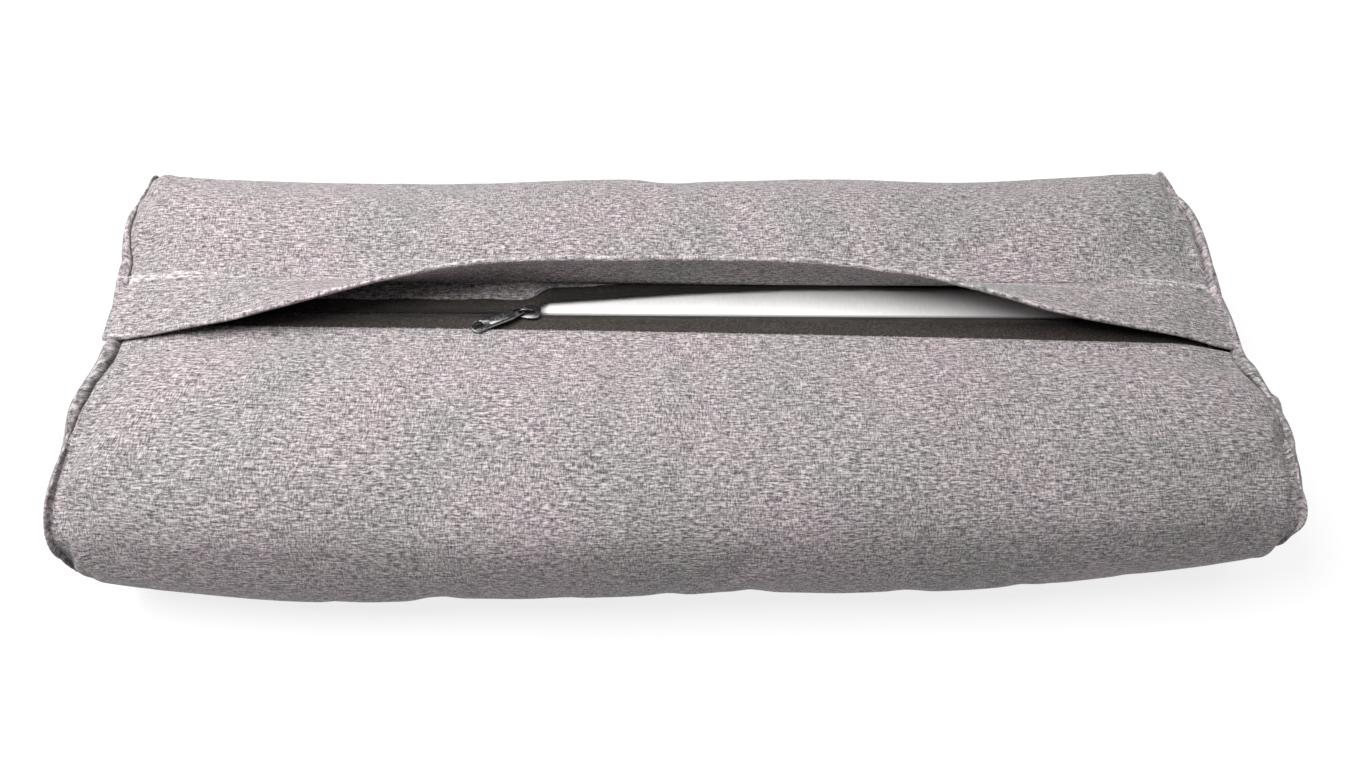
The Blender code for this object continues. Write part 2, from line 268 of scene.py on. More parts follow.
class Nodes:
    """A few short words for building a node tree."""

    def __init__(self, tree):
        self.t = tree

    def put(self, socket, value):
        if value is None:
            return
        if hasattr(value, "is_output"):
            self.t.links.new(value, socket)
        else:
            socket.default_value = value

    def math(self, op, a, b=None, c=None, clamp=False):
        n = self.t.nodes.new("ShaderNodeMath")
        n.operation = op
        n.use_clamp = clamp
        for i, v in enumerate((a, b, c)):
            if v is not None:
                self.put(n.inputs[i], v)
        return n.outputs[0]

    def combine(self, x, y, z=0.0):
        n = self.t.nodes.new("ShaderNodeCombineXYZ")
        for i, v in enumerate((x, y, z)):
            self.put(n.inputs[i], v)
        return n.outputs[0]

    def noise(self, vector, scale=1.0, detail=2.0, rough=0.5, dims="3D", distortion=0.0):
        n = self.t.nodes.new("ShaderNodeTexNoise")
        n.noise_dimensions = dims
        self.put(n.inputs["Vector"], vector)
        n.inputs["Scale"].default_value = scale
        n.inputs["Detail"].default_value = detail
        n.inputs["Roughness"].default_value = rough
        n.inputs["Distortion"].default_value = distortion
        return n.outputs["Fac"]

    def ramp(self, fac, stops, interpolation="LINEAR"):
        n = self.t.nodes.new("ShaderNodeValToRGB")
        n.color_ramp.interpolation = interpolation
        e = n.color_ramp.elements
        while len(e) < len(stops):
            e.new(0.5)
        for el, (pos, col) in zip(e, stops):
            el.position = pos
            el.color = (*col, 1.0) if len(col) == 3 else col
        self.put(n.inputs[0], fac)
        return n.outputs[0]

    def remap(self, value, a, b, c, d):
        n = self.t.nodes.new("ShaderNodeMapRange")
        n.clamp = True
        for i, v in enumerate((value, a, b, c, d)):
            self.put(n.inputs[i], v)
        return n.outputs[0]

    def mix(self, fac, a, b, blend="MIX"):
        n = self.t.nodes.new("ShaderNodeMix")
        n.data_type = "RGBA"
        n.blend_type = blend
        self.put(n.inputs[0], fac)
        self.put(n.inputs[6], a if hasattr(a, "is_output") else (*a, 1.0))
        self.put(n.inputs[7], b if hasattr(b, "is_output") else (*b, 1.0))
        return n.outputs[2]

    def bump(self, height, strength, distance, normal=None):
        n = self.t.nodes.new("ShaderNodeBump")
        n.inputs["Strength"].default_value = strength
        n.inputs["Distance"].default_value = distance
        self.put(n.inputs["Height"], height)
        if normal is not None:
            self.put(n.inputs["Normal"], normal)
        return n.outputs[0]

    def cloth_uv(self):
        n = self.t.nodes.new("ShaderNodeUVMap")
        n.uv_map = "cloth"
        s = self.t.nodes.new("ShaderNodeSeparateXYZ")
        self.t.links.new(n.outputs[0], s.inputs[0])
        return s.outputs[0], s.outputs[1]

    def position(self):
        n = self.t.nodes.new("ShaderNodeTexCoord")
        return n.outputs["Object"]


def heather(name, gain=1.0, seed=0.0):
    """Grey melange plain weave: light, mid and dark slubs along both threads, in soft mauve and green-grey patches."""
    m, nt, bsdf = principled(name, (0.33, 0.31, 0.32), 0.93, **{"Sheen_Weight": 0.18, "Sheen_Roughness": 0.45, "Specular_IOR_Level": 0.22})
    N = Nodes(nt)
    u, v = N.cloth_uv()
    wob = N.noise(N.combine(N.math("MULTIPLY", u, 55.0), N.math("MULTIPLY", v, 55.0), 7.0 + seed), 1.0, 2.0)
    wv = N.math("ADD", v, N.math("MULTIPLY", wob, 0.0011))
    wu = N.math("ADD", u, N.math("MULTIPLY", wob, 0.0009))
    # weft slubs lie along u, warp slubs along v
    weft = N.noise(N.combine(N.math("MULTIPLY", u, 330.0), N.math("MULTIPLY", wv, 1250.0), 1.0 + seed), 1.0, 2.5, 0.60)
    warp = N.noise(N.combine(N.math("MULTIPLY", wu, 1250.0), N.math("MULTIPLY", v, 340.0), 4.0 + seed), 1.0, 2.5, 0.60)
    long_weft = N.noise(N.combine(N.math("MULTIPLY", u, 120.0), N.math("MULTIPLY", wv, 900.0), 9.0 + seed), 1.0, 1.5, 0.5)
    # where warp slubs show more
    zone = N.noise(N.combine(N.math("MULTIPLY", u, 34.0), N.math("MULTIPLY", v, 34.0), 2.0 + seed), 1.0, 2.0)
    share = N.remap(zone, 0.35, 0.68, 0.26, 0.58)
    streak = N.math("ADD", N.math("MULTIPLY", weft, N.math("SUBTRACT", 1.0, share)), N.math("MULTIPLY", warp, share))
    streak = N.math("ADD", streak, N.math("MULTIPLY", N.math("SUBTRACT", long_weft, 0.5), 0.30))
    grain = N.noise(N.combine(N.math("MULTIPLY", u, 1900.0), N.math("MULTIPLY", v, 1900.0), 5.0 + seed), 1.0, 1.0)
    streak = N.math("ADD", streak, N.math("MULTIPLY", N.math("SUBTRACT", grain, 0.5), 0.16))
    g = gain
    colour = N.ramp(streak, [
        (0.34, (0.070 * g, 0.068 * g, 0.080 * g)),
        (0.44, (0.205 * g, 0.190 * g, 0.200 * g)),
        (0.52, (0.400 * g, 0.365 * g, 0.372 * g)),
        (0.63, (0.740 * g, 0.680 * g, 0.680 * g)),
    ])
    patch = N.noise(N.combine(N.math("MULTIPLY", u, 15.0), N.math("MULTIPLY", v, 15.0), 3.0 + seed), 1.0, 3.0, 0.55)
    tint = N.ramp(patch, [(0.36, (0.90, 0.935, 0.915)), (0.50, (0.99, 0.98, 0.98)), (0.64, (1.05, 0.995, 1.02))])
    colour = N.mix(1.0, colour, tint, "MULTIPLY")
    nt.links.new(colour, bsdf.inputs["Base Color"])
    nt.links.new(N.remap(streak, 0.3, 0.7, 0.98, 0.84), bsdf.inputs["Roughness"])
    # plain weave: threads pass over and under each other
    k = 2.0 * math.pi / 0.00084
    cell = N.math("MULTIPLY", N.math("SINE", N.math("MULTIPLY", wu, k)), N.math("SINE", N.math("MULTIPLY", wv, k)))
    height = N.math("ADD", N.math("MULTIPLY", cell, 0.30), N.math("MULTIPLY", streak, 1.15))
    fine = N.bump(height, 0.55, 0.00022)
    rumple = N.noise(N.combine(N.math("MULTIPLY", u, 48.0), N.math("MULTIPLY", v, 62.0), 6.0 + seed), 1.0, 3.0, 0.55)
    nt.links.new(N.bump(rumple, 0.30, 0.0016, fine), bsdf.inputs["Normal"])
    return m


def tape_material(name):
    """Black zip tape: fine ribs along the tape, slightly brown, a little lint."""
    m, nt, bsdf = principled(name, (0.034, 0.030, 0.029), 0.86, **{"Sheen_Weight": 0.25, "Sheen_Roughness": 0.4, "Specular_IOR_Level": 0.25})
    N = Nodes(nt)
    u, v = N.cloth_uv()
    fleck = N.noise(N.combine(N.math("MULTIPLY", u, 900.0), N.math("MULTIPLY", v, 1500.0), 1.5), 1.0, 2.0, 0.6)
    patch = N.noise(N.combine(N.math("MULTIPLY", u, 40.0), N.math("MULTIPLY", v, 160.0), 2.5), 1.0, 2.0)
    colour = N.ramp(fleck, [(0.32, (0.014, 0.012, 0.011)), (0.50, (0.027, 0.023, 0.020)), (0.70, (0.055, 0.046, 0.041))])
    colour = N.mix(1.0, colour, N.ramp(patch, [(0.35, (0.85, 0.88, 0.86)), (0.65, (1.12, 1.05, 1.04))]), "MULTIPLY")
    nt.links.new(colour, bsdf.inputs["Base Color"])
    k = 2.0 * math.pi / 0.00062
    rib = N.math("SINE", N.math("MULTIPLY", v, k))
    cross = N.math("SINE", N.math("MULTIPLY", u, k * 0.8))
    height = N.math("ADD", N.math("MULTIPLY", rib, 0.6), N.math("MULTIPLY", N.math("MULTIPLY", cross, rib), 0.4))
    nt.links.new(N.bump(N.math("ADD", height, fleck), 0.5, 0.00012), bsdf.inputs["Normal"])
    nt.links.new(N.remap(fleck, 0.3, 0.7, 0.92, 0.74), bsdf.inputs["Roughness"])
    return m


def nylon_material(name):
    m, nt, bsdf = principled(name, (0.024, 0.022, 0.022), 0.42, **{"Specular_IOR_Level": 0.4})
    N = Nodes(nt)
    n = N.noise(N.position(), 900.0, 3.0, 0.6)
    nt.links.new(N.ramp(n, [(0.3, (0.017, 0.016, 0.016)), (0.7, (0.036, 0.033, 0.032))]), bsdf.inputs["Base Color"])
    nt.links.new(N.remap(n, 0.3, 0.7, 0.36, 0.55), bsdf.inputs["Roughness"])
    nt.links.new(N.bump(n, 0.2, 0.00006), bsdf.inputs["Normal"])
    return m


def enamel_material(name):
    """Black enamel on cast zinc, rubbed bright at its corners."""
    m, nt, bsdf = principled(name, (0.012, 0.012, 0.013), 0.2, **{"Specular_IOR_Level": 0.6, "Coat_Weight": 0.5, "Coat_Roughness": 0.12})
    N = Nodes(nt)
    p = N.position()
    n = N.noise(p, 700.0, 4.0, 0.65)
    big = N.noise(p, 160.0, 2.0)
    geo = nt.nodes.new("ShaderNodeNewGeometry")
    edge = N.remap(geo.outputs["Pointiness"], 0.53, 0.60, 0.0, 1.0)
    worn = N.math("MULTIPLY", edge, N.remap(n, 0.48, 0.62, 0.0, 1.0))
    base = N.ramp(big, [(0.35, (0.010, 0.010, 0.011)), (0.65, (0.018, 0.017, 0.018))])
    nt.links.new(N.mix(worn, base, (0.20, 0.195, 0.19)), bsdf.inputs["Base Color"])
    nt.links.new(N.math("MULTIPLY", worn, 0.9), bsdf.inputs["Metallic"])
    nt.links.new(N.remap(n, 0.35, 0.7, 0.16, 0.34), bsdf.inputs["Roughness"])
    nt.links.new(N.bump(n, 0.12, 0.00008), bsdf.inputs["Normal"])
    return m


def thread_material(name, rgb, twist=2600.0):
    m, nt, bsdf = principled(name, rgb, 0.7, **{"Sheen_Weight": 0.2, "Specular_IOR_Level": 0.3})
    N = Nodes(nt)
    sep = nt.nodes.new("ShaderNodeSeparateXYZ")
    nt.links.new(N.position(), sep.inputs[0])
    s = N.math("ADD", sep.outputs[0], N.math("ADD", sep.outputs[1], sep.outputs[2]))
    ply = N.math("SINE", N.math("MULTIPLY", s, 2.0 * math.pi * twist))
    n = N.noise(N.position(), 420.0, 2.0)
    lo, hi = tuple(c * 0.78 for c in rgb), tuple(min(1.0, c * 1.18) for c in rgb)
    nt.links.new(N.ramp(n, [(0.3, lo), (0.7, hi)]), bsdf.inputs["Base Color"])
    nt.links.new(N.bump(ply, 0.5, 0.00008), bsdf.inputs["Normal"])
    nt.links.new(N.remap(n, 0.3, 0.7, 0.62, 0.8), bsdf.inputs["Roughness"])
    return m


def case_material(name):
    """White plain weave of the inner case."""
    m, nt, bsdf = principled(name, (0.90, 0.90, 0.895), 0.9, **{"Sheen_Weight": 0.15, "Specular_IOR_Level": 0.2})
    N = Nodes(nt)
    u, v = N.cloth_uv()
    n = N.noise(N.combine(N.math("MULTIPLY", u, 700.0), N.math("MULTIPLY", v, 900.0), 1.0), 1.0, 2.0)
    nt.links.new(N.ramp(n, [(0.3, (0.87, 0.87, 0.865)), (0.7, (0.925, 0.925, 0.92))]), bsdf.inputs["Base Color"])
    k = 2.0 * math.pi / 0.0007
    cell = N.math("MULTIPLY", N.math("SINE", N.math("MULTIPLY", u, k)), N.math("SINE", N.math("MULTIPLY", v, k)))
    nt.links.new(N.bump(N.math("ADD", cell, n), 0.25, 0.00015), bsdf.inputs["Normal"])
    nt.links.new(N.remap(n, 0.3, 0.7, 0.95, 0.84), bsdf.inputs["Roughness"])
    return m


def fibre_material(name):
    m, nt, bsdf = principled(name, (0.86, 0.86, 0.84), 1.0, **{"Sheen_Weight": 0.4})
    N = Nodes(nt)
    n = N.noise(N.position(), 220.0, 6.0, 0.7, distortion=1.5)
    nt.links.new(N.ramp(n, [(0.3, (0.78, 0.78, 0.76)), (0.7, (0.91, 0.91, 0.90))]), bsdf.inputs["Base Color"])
    nt.links.new(N.bump(n, 0.8, 0.002), bsdf.inputs["Normal"])
    nt.links.new(N.remap(n, 0.3, 0.7, 1.0, 0.92), bsdf.inputs["Roughness"])
    return m


HEATHER = heather("heather_cloth", gain=0.62)
# the fold band: the same cloth at gain 0.78, a painted highlight along the flap's fold
HEATHER_FOLD_PAINTED_HIGHLIGHT = heather("heather_cloth_fold_painted_highlight", gain=0.78, seed=0.0)
# the flap's lower layer: the same cloth at gain 0.98, painted light that makes the underside brighter
HEATHER_LOWER_PAINTED_LIGHT = heather("heather_cloth_lower_painted_light", gain=0.98, seed=21.0)
HEATHER_FACING = heather("heather_cloth_strip", gain=0.62, seed=33.0)
TAPE = tape_material("zip_tape")
NYLON = nylon_material("zip_coil")
ENAMEL = enamel_material("slider_enamel")
THREAD = thread_material("grey_thread", (0.47, 0.44, 0.45))
DARK_THREAD = thread_material("black_thread", (0.035, 0.032, 0.032))
LINT = thread_material("frayed_fibre", (0.52, 0.49, 0.50))
CASE = case_material("inner_case_cloth")
FIBRE = fibre_material("fibre_filling")


# ---------------------------------------------------------------- the pillow's section
def half_width(x):
    s = np.minimum(1.0, np.abs(x) / SEAM_X)
    return HALF_W - (HALF_W - HALF_W_END) * s ** 4


def floor_lift(x):
    s = np.maximum(0.0, (np.abs(x) - LIFT_FROM) / (SEAM_X - LIFT_FROM))
    return END_LIFT * s * s


def soft_lift(x):
    """The cloth sags below the stiffer form at its two ends, more at the left."""
    s = np.maximum(0.0, (np.abs(x) - LIFT_FROM) / (SEAM_X - LIFT_FROM))
    return np.where(x < 0, 0.0150, 0.0175) * s * s


def end_dip(x):
    """The top comes down a little just before each end seam."""
    return np.where(x < 0, 0.0052, 0.0080) * smooth((np.abs(x) - 0.262) / 0.046)


def front_edge(x):
    """y of the cloth edge sewn on the front tape."""
    return -0.0066 - 0.0150 * x - 0.022 * x * x


REAR_Y = 0.0278         # the wrap's rear edge, tucked under the flap's root


def section(x, t):
    """Outer surface of the cover. t runs 0 back, pi/2 top, pi front, 3pi/2 underside."""
    c, s = np.cos(t), np.sin(t)
    a = half_width(x) - 0.0008
    low = BASE_Z + soft_lift(x)
    n = np.where(c < 0, 4.1, 4.3)
    mid, h = (TOP_Z + low) / 2.0, (TOP_Z - low) / 2.0
    y = a * spow(c, 2.0 / n)
    z = mid + h * spow(s, 2.0 / n)
    up = np.clip((z - mid) / h, 0, 1) ** 2
    # crown of the top, and the dip to the tapes along the mouth
    crown = 0.0032 * np.exp(-((y - 0.070) / 0.027) ** 2) + 0.0040 * np.exp(-((y + 0.052) / 0.034) ** 2)
    front = smooth((y - front_edge(x) + 0.020) / 0.020) * (y < 0.012)
    back = smooth((0.055 - y) / 0.025) * (y > 0.012)
    z = z + up * (crown - 0.0007 * front + 0.0013 * back)
    z = z - up * end_dip(x)
    return y, np.maximum(z, 0.0004)


def edge_angle(x, y, n):
    a = half_width(x) - 0.0008
    return np.arccos(np.clip(spow(y / a, n / 2.0), -1, 1))


def morph(co):
    """The soft outline in plan: a little skewed against the zip, full at the front, and with its ends drawn in at the flap."""
    co = np.array(co, float)
    x, y = co[:, 0].copy(), co[:, 1].copy()
    s = np.minimum(1.0, np.abs(x) / SEAM_X)
    front, rear = smooth((-y - 0.03) / 0.09), smooth((y - 0.03) / 0.08)
    co[:, 1] = y + 0.022 * x * (front + rear) - (0.0055 - 0.0083 * s ** 4) * front + (0.0040 + 0.0090 * s ** 4) * rear
    k, e = smooth((np.abs(x) - 0.12) / 0.18), y / 0.12
    left = 0.0019 + 0.0056 * e + 0.0117 * e * e
    right = 0.0030 - 0.0065 * e + 0.0097 * e * e
    left = left + 0.0036 * np.exp(-((e - 0.72) / 0.30) ** 2) - 0.0056 * np.exp(-((e + 0.20) / 0.17) ** 2) + 0.0044 * np.exp(-((e + 0.72) / 0.22) ** 2)
    right = right - 0.0024 * np.exp(-((e + 0.22) / 0.22) ** 2) + 0.0030 * np.exp(-((e + 0.66) / 0.14) ** 2)
    drawn = 0.0012 * np.exp(-((y - 0.012) / 0.030) ** 2) * smooth((y + 0.016) / 0.006) * smooth((np.abs(x) - 0.262) / 0.035)
    co[:, 0] = x + np.where(x < 0, -1.0, 1.0) * (k * np.where(x < 0, left, right) - drawn)
    return co


# ---------------------------------------------------------------- cover: wrap and end panels as one sewn skin
NX, NV = 132, 136
K = 0.93 * math.pi / 2
XS = SEAM_X * np.sin(np.linspace(-1, 1, NX) * K) / math.sin(K)

rows, arcs = [], []
for x in XS:
    a0 = edge_angle(x, front_edge(x), 4.1)
    a1 = edge_angle(x, REAR_Y, 4.3) + 2 * math.pi
    t = np.linspace(a0, a1, 900)
    y, z = section(x, t)
    d = np.concatenate([[0], np.cumsum(np.hypot(np.diff(y), np.diff(z)))])
    want = np.linspace(0, d[-1], NV)
    rows.append(np.stack([np.full(NV, x), np.interp(want, d, y), np.interp(want, d, z)], 1))
    arcs.append(want)
WRAP = np.array(rows)                   # NX, NV, 3
ARC = np.array(arcs)
ARC -= ARC[:, :1]

# the cloth's thread direction is square to the zip on both halves of the top; the small difference is lost on the underside
TOTAL = ARC[:, -1:]
turned = ARC + smooth((ARC / TOTAL - 0.36) / 0.28) * (TOTAL[NX // 2] - TOTAL)
wrap_uv = np.stack([np.repeat(XS, NV) + 0.31, turned.ravel() + 0.02], 1)
GAP_N = 7                               # corners across the mouth on each end's ring


def end_ring(i):
    """The seam ring of an end: the wrap's own corners and a few across the mouth."""
    ring = WRAP[i]
    a, b = ring[-1], ring[0]
    k = np.linspace(0, 1, GAP_N + 2)[1:-1, None]
    gap = a + (b - a) * k
    return np.concatenate([ring, gap])


RINGS = (1.0, 0.985, 0.96, 0.925, 0.88, 0.82, 0.74, 0.64, 0.53, 0.41, 0.28, 0.14)
END_BULGE = 0.0078


def end_panel(side):
    """Rings from the seam to the middle of an end panel, and the flat cloth coordinates."""
    ring = end_ring(0 if side < 0 else NX - 1)
    n = len(ring)
    c = np.array([0.0, 0.0, 0.055])
    verts, uv = [], []
    for r in RINGS:
        p = ring.copy()
        p[:, 1:] = c[1:] + (ring[:, 1:] - c[1:]) * r
        q = 1.0 - r ** 3.0
        edge = 1.0 - math.exp(-(1.0 - r) / 0.035)
        p[:, 0] = side * (SEAM_X + END_BULGE * (0.55 * q + 0.45 * edge))
        verts.append(p)
    middle = np.array([[side * (SEAM_X + END_BULGE), c[1], c[2]]])
    # lay the panel flat: each point as far from the middle as it is along the cloth
    spoke = ring[:, 1:] - c[1:]
    spoke = spoke / np.linalg.norm(spoke, axis=1)[:, None]
    path = verts + [np.repeat(middle, n, 0)]
    reach = np.zeros(n)
    for k in range(len(RINGS) - 1, -1, -1):
        reach = reach + np.linalg.norm(path[k] - path[k + 1], axis=1)
        uv.insert(0, spoke * reach[:, None] + np.array([0.2, 0.9 + c[2]]))
    verts = np.concatenate(verts + [middle])
    uv = np.concatenate(uv + [np.array([[0.2, c[2] + 0.9]])])
    faces = grid_faces(len(RINGS), n, wrap_v=True, flip=side > 0)
    last = (len(RINGS) - 1) * n
    for j in range(n):
        k = (j + 1) % n
        faces.append((last + j, len(verts) - 1, last + k) if side < 0 else (last + k, len(verts) - 1, last + j))
    return verts, faces, uv, n


skin_v = [WRAP.reshape(-1, 3)]
skin_f = [grid_faces(NX, NV)]
skin_uv = [wrap_uv]
part_of_face = [0] * len(skin_f[0])
base = NX * NV
seam_index = []
faces_all = list(skin_f[0])
uv_faces = [[tuple(wrap_uv[i]) for i in f] for f in skin_f[0]]
for which, side in ((1, -1.0), (2, 1.0)):
    ev, ef, euv, n = end_panel(side)
    first = 0 if side < 0 else (NX - 1) * NV
    remap = {}
    for j in range(NV):
        remap[j] = first + j
    new_index = {}
    keep = [i for i in range(len(ev)) if i >= NV]
    for k, i in enumerate(keep):
        new_index[i] = base + k
    skin_v.append(ev[keep])
    for f in ef:
        faces_all.append(tuple(remap[i] if i in remap else new_index[i] for i in f))
        uv_faces.append([tuple(euv[i]) for i in f])
        part_of_face.append(which)
    base += len(keep)
SKIN = np.concatenate(skin_v)
part_of_face = np.array(part_of_face)


def skin_object(co, name):
    mesh = bpy.data.meshes.new(name)
    mesh.from_pydata([tuple(map(float, v)) for v in co], [], [tuple(map(int, f)) for f in faces_all])
    layer = mesh.uv_layers.new(name="cloth")
    layer.data.foreach_set("uv", np.asarray([c for f in uv_faces for c in f], np.float32).ravel())
    mesh.polygons.foreach_set("material_index", [int(i) for i in part_of_face])
    for _ in range(3):
        mesh.materials.append(HEATHER)
    mesh.shade_smooth()
    obj = bpy.data.objects.new(name, mesh)
    scene.collection.objects.link(obj)
    return obj


skin = skin_object(SKIN, "cover_skin")
nrm = normals(skin)
# the faces point outwards
probe = int(np.argmax(SKIN[:, 2]))
if nrm[probe][2] < 0:
    skin.data.flip_normals()
    skin.data.update()
    nrm = normals(skin)

dist_seam = SEAM_X - np.abs(SKIN[:, 0])
is_wrap = np.zeros(len(SKIN), bool)
is_wrap[: NX * NV] = True
col = np.zeros(len(SKIN), int)
col[: NX * NV] = np.tile(np.arange(NV), NX)

# inflated by its filling: the skin starts a little inside its place, the mouth's edges and the ground face are held
start = SKIN - nrm * 0.0032
start[:, 2] = np.maximum(start[:, 2], 0.0012)
mouth = is_wrap & ((col <= 1) | (col >= NV - 2))
start[mouth] = SKIN[mouth]
set_coords(skin, start)
pins = skin.vertex_groups.new(name="pins")
for i in range(len(SKIN)):
    w = 0.0
    if mouth[i]:
        w = 1.0
    elif SKIN[i, 2] < 0.0012:
        w = 0.85
    if w:
        pins.add([i], w, "REPLACE")
gathered = skin.vertex_groups.new(name="gathered")
for i in range(len(SKIN)):
    w = float(np.clip(1.0 - abs(dist_seam[i]) / 0.012, 0.0, 1.0))
    if w > 0:
        gathered.add([i], w, "REPLACE")
cm = skin.modifiers.new("cloth", "CLOTH")
cs = cm.settings
cs.quality = 6
cs.mass = 0.3
cs.tension_stiffness = cs.compression_stiffness = 22.0
cs.shear_stiffness = 9.0
cs.bending_stiffness = 0.35
cs.tension_damping = cs.compression_damping = cs.shear_damping = 8.0
cs.bending_damping = 0.6
cs.air_damping = 4.0
cs.use_pressure = True
cs.uniform_pressure_force = 4.0
cs.vertex_group_mass = "pins"
cs.pin_stiffness = 1.0
cs.vertex_group_shrink = "gathered"
cs.shrink_min = -0.012
cs.shrink_max = 0.035
cs.effector_weights.gravity = 0.0
cm.collision_settings.use_collision = False
cm.collision_settings.use_self_collision = False
cm.point_cache.frame_start, cm.point_cache.frame_end = 1, 20
scene.frame_start, scene.frame_end = 1, 20
for f in range(1, 21):
    scene.frame_set(f)
    bpy.context.view_layer.update()
bake_modifiers(skin)
scene.frame_set(1)
sim = coords(skin)
move = sim - SKIN
# keep the folds and puckers that the cloth made, and most of the outline that it was cut to
edges = np.zeros(len(skin.data.edges) * 2, np.int32)
skin.data.edges.foreach_get("vertices", edges)
edges = edges.reshape(-1, 2)
degree = np.bincount(edges.ravel(), minlength=len(SKIN)).astype(float)
rest_nrm = nrm
out = (move * rest_nrm).sum(1)
slow = out.copy()
for _ in range(70):
    acc = np.bincount(edges[:, 0], slow[edges[:, 1]], len(SKIN)) + np.bincount(edges[:, 1], slow[edges[:, 0]], len(SKIN))
    slow = 0.5 * slow + 0.5 * acc / degree
fast = np.clip(out - slow, -0.0022, 0.0022)
base_out = np.clip(slow, -0.0006, 0.0024) * 0.5
along = move - out[:, None] * rest_nrm
size = np.linalg.norm(along, axis=1)
cap = 0.0012
along *= (cap * np.tanh(size / cap) / np.maximum(size, 1e-9))[:, None]
hold = np.where(is_wrap, smooth(np.minimum(col - 1, NV - 2 - col) / 6.0), 1.0)
soft = SKIN + (rest_nrm * (fast * 1.15 + base_out)[:, None] + along) * hold[:, None]
soft[:, 2] = np.maximum(soft[:, 2], 0.0004)
print("cloth: out %.2f to %.2f mm, fold height %.2f mm" % (out.min() * 1e3, out.max() * 1e3, np.abs(fast).mean() * 1e3))
set_coords(skin, soft)

# broad lumps of the filling, and puckers that fade away from the end seams
co = coords(skin)
nrm = normals(skin)
lump, pucker, crease = waves(3, 0.110), waves(11, 0.017, 7), waves(19, 0.030, 7)
d = np.abs(np.abs(co[:, 0]) - SEAM_X)
around = np.where(is_wrap, np.concatenate([ARC.ravel(), np.zeros(len(SKIN) - NX * NV)]), 0.0)
near_floor = np.clip((co[:, 2] - 0.004) / 0.012, 0, 1)
push = 0.0011 * lump(co[:, 0], co[:, 1] + co[:, 2]) * near_floor
push += 0.0010 * pucker(around, np.full(len(co), 0.3)) * np.exp(-d / 0.011) * (1 - np.exp(-d / 0.0016)) * near_floor * is_wrap
push += 0.0006 * crease(co[:, 0] * 0.6, around) * np.exp(-d / 0.040) * near_floor * is_wrap
edge_keep = np.clip(np.minimum(col, NV - 1 - col) / 4.0, 0, 1)
push *= np.where(is_wrap, edge_keep, 1.0)
co += nrm * push[:, None]
co[:, 2] = np.maximum(co[:, 2], 0.0004)
set_coords(skin, co)
subdivide(skin, 1)
bake_modifiers(skin)

# the end seams: both panels turn in to the row of stitches
co = coords(skin)
nrm = normals(skin)
d = np.abs(np.abs(co[:, 0]) - SEAM_X)
mid = np.array([0.0, 0.0, 0.055])
inward = mid - co
inward[:, 0] = 0
inward /= np.maximum(np.linalg.norm(inward, axis=1), 1e-6)[:, None]
top_half = co[:, 2] > 0.055
valley = 0.0024 * np.exp(-(d / 0.0018) ** 2)
co += inward * valley[:, None]
co = morph(co)
CREASES = (
    # from, to, half width, depth: the gathered corners and the hollows beside the end seams
    ((-0.286, 0.116, 0.086), (-0.304, 0.090, 0.090), 0.0026, 0.0036),
    ((-0.278, 0.104, 0.090), (-0.298, 0.078, 0.092), 0.0050, -0.0016),
    ((0.300, 0.088, 0.088), (0.286, 0.082, 0.092), 0.0028, 0.0024),
    ((0.297, 0.040, 0.092), (0.280, 0.046, 0.094), 0.0030, 0.0018),
    ((0.3133, -0.043, 0.090), (0.323, -0.086, 0.070), 0.0030, 0.0030),
    ((0.3228, -0.088, 0.066), (0.314, -0.094, 0.070), 0.0040, 0.0026),
    ((-0.3260, -0.080, 0.062), (-0.308, -0.092, 0.066), 0.0036, 0.0022),
    ((-0.3180, -0.104, 0.040), (-0.300, -0.110, 0.046), 0.0036, 0.0022),
)
nrm = normals(skin)
moved = np.zeros_like(co)
for p0, p1, wide, deep in CREASES:
    p0, p1 = (co[np.argmin(np.linalg.norm(co - np.array(p), axis=1))] for p in (p0, p1))
    along = np.clip(((co - p0) @ (p1 - p0)) / ((p1 - p0) @ (p1 - p0)), 0, 1)
    away = np.linalg.norm(co - (p0 + along[:, None] * (p1 - p0)), axis=1)
    moved -= nrm * (deep * (1 - 0.75 * along) * np.exp(-(away / wide) ** 2))[:, None]
co += moved
co[:, 2] = np.maximum(co[:, 2], 0.0004)
set_coords(skin, co)
for which, side in ((1, -1.0), (2, 1.0)):
    print("end panel", which, "mean outward normal", round(float(np.mean([p.normal.x * side for p in skin.data.polygons if p.material_index == which])), 3))
SKIN_TREE = BVHTree.FromPolygons([tuple(map(float, v)) for v in co], [tuple(p.vertices) for p in skin.data.polygons])


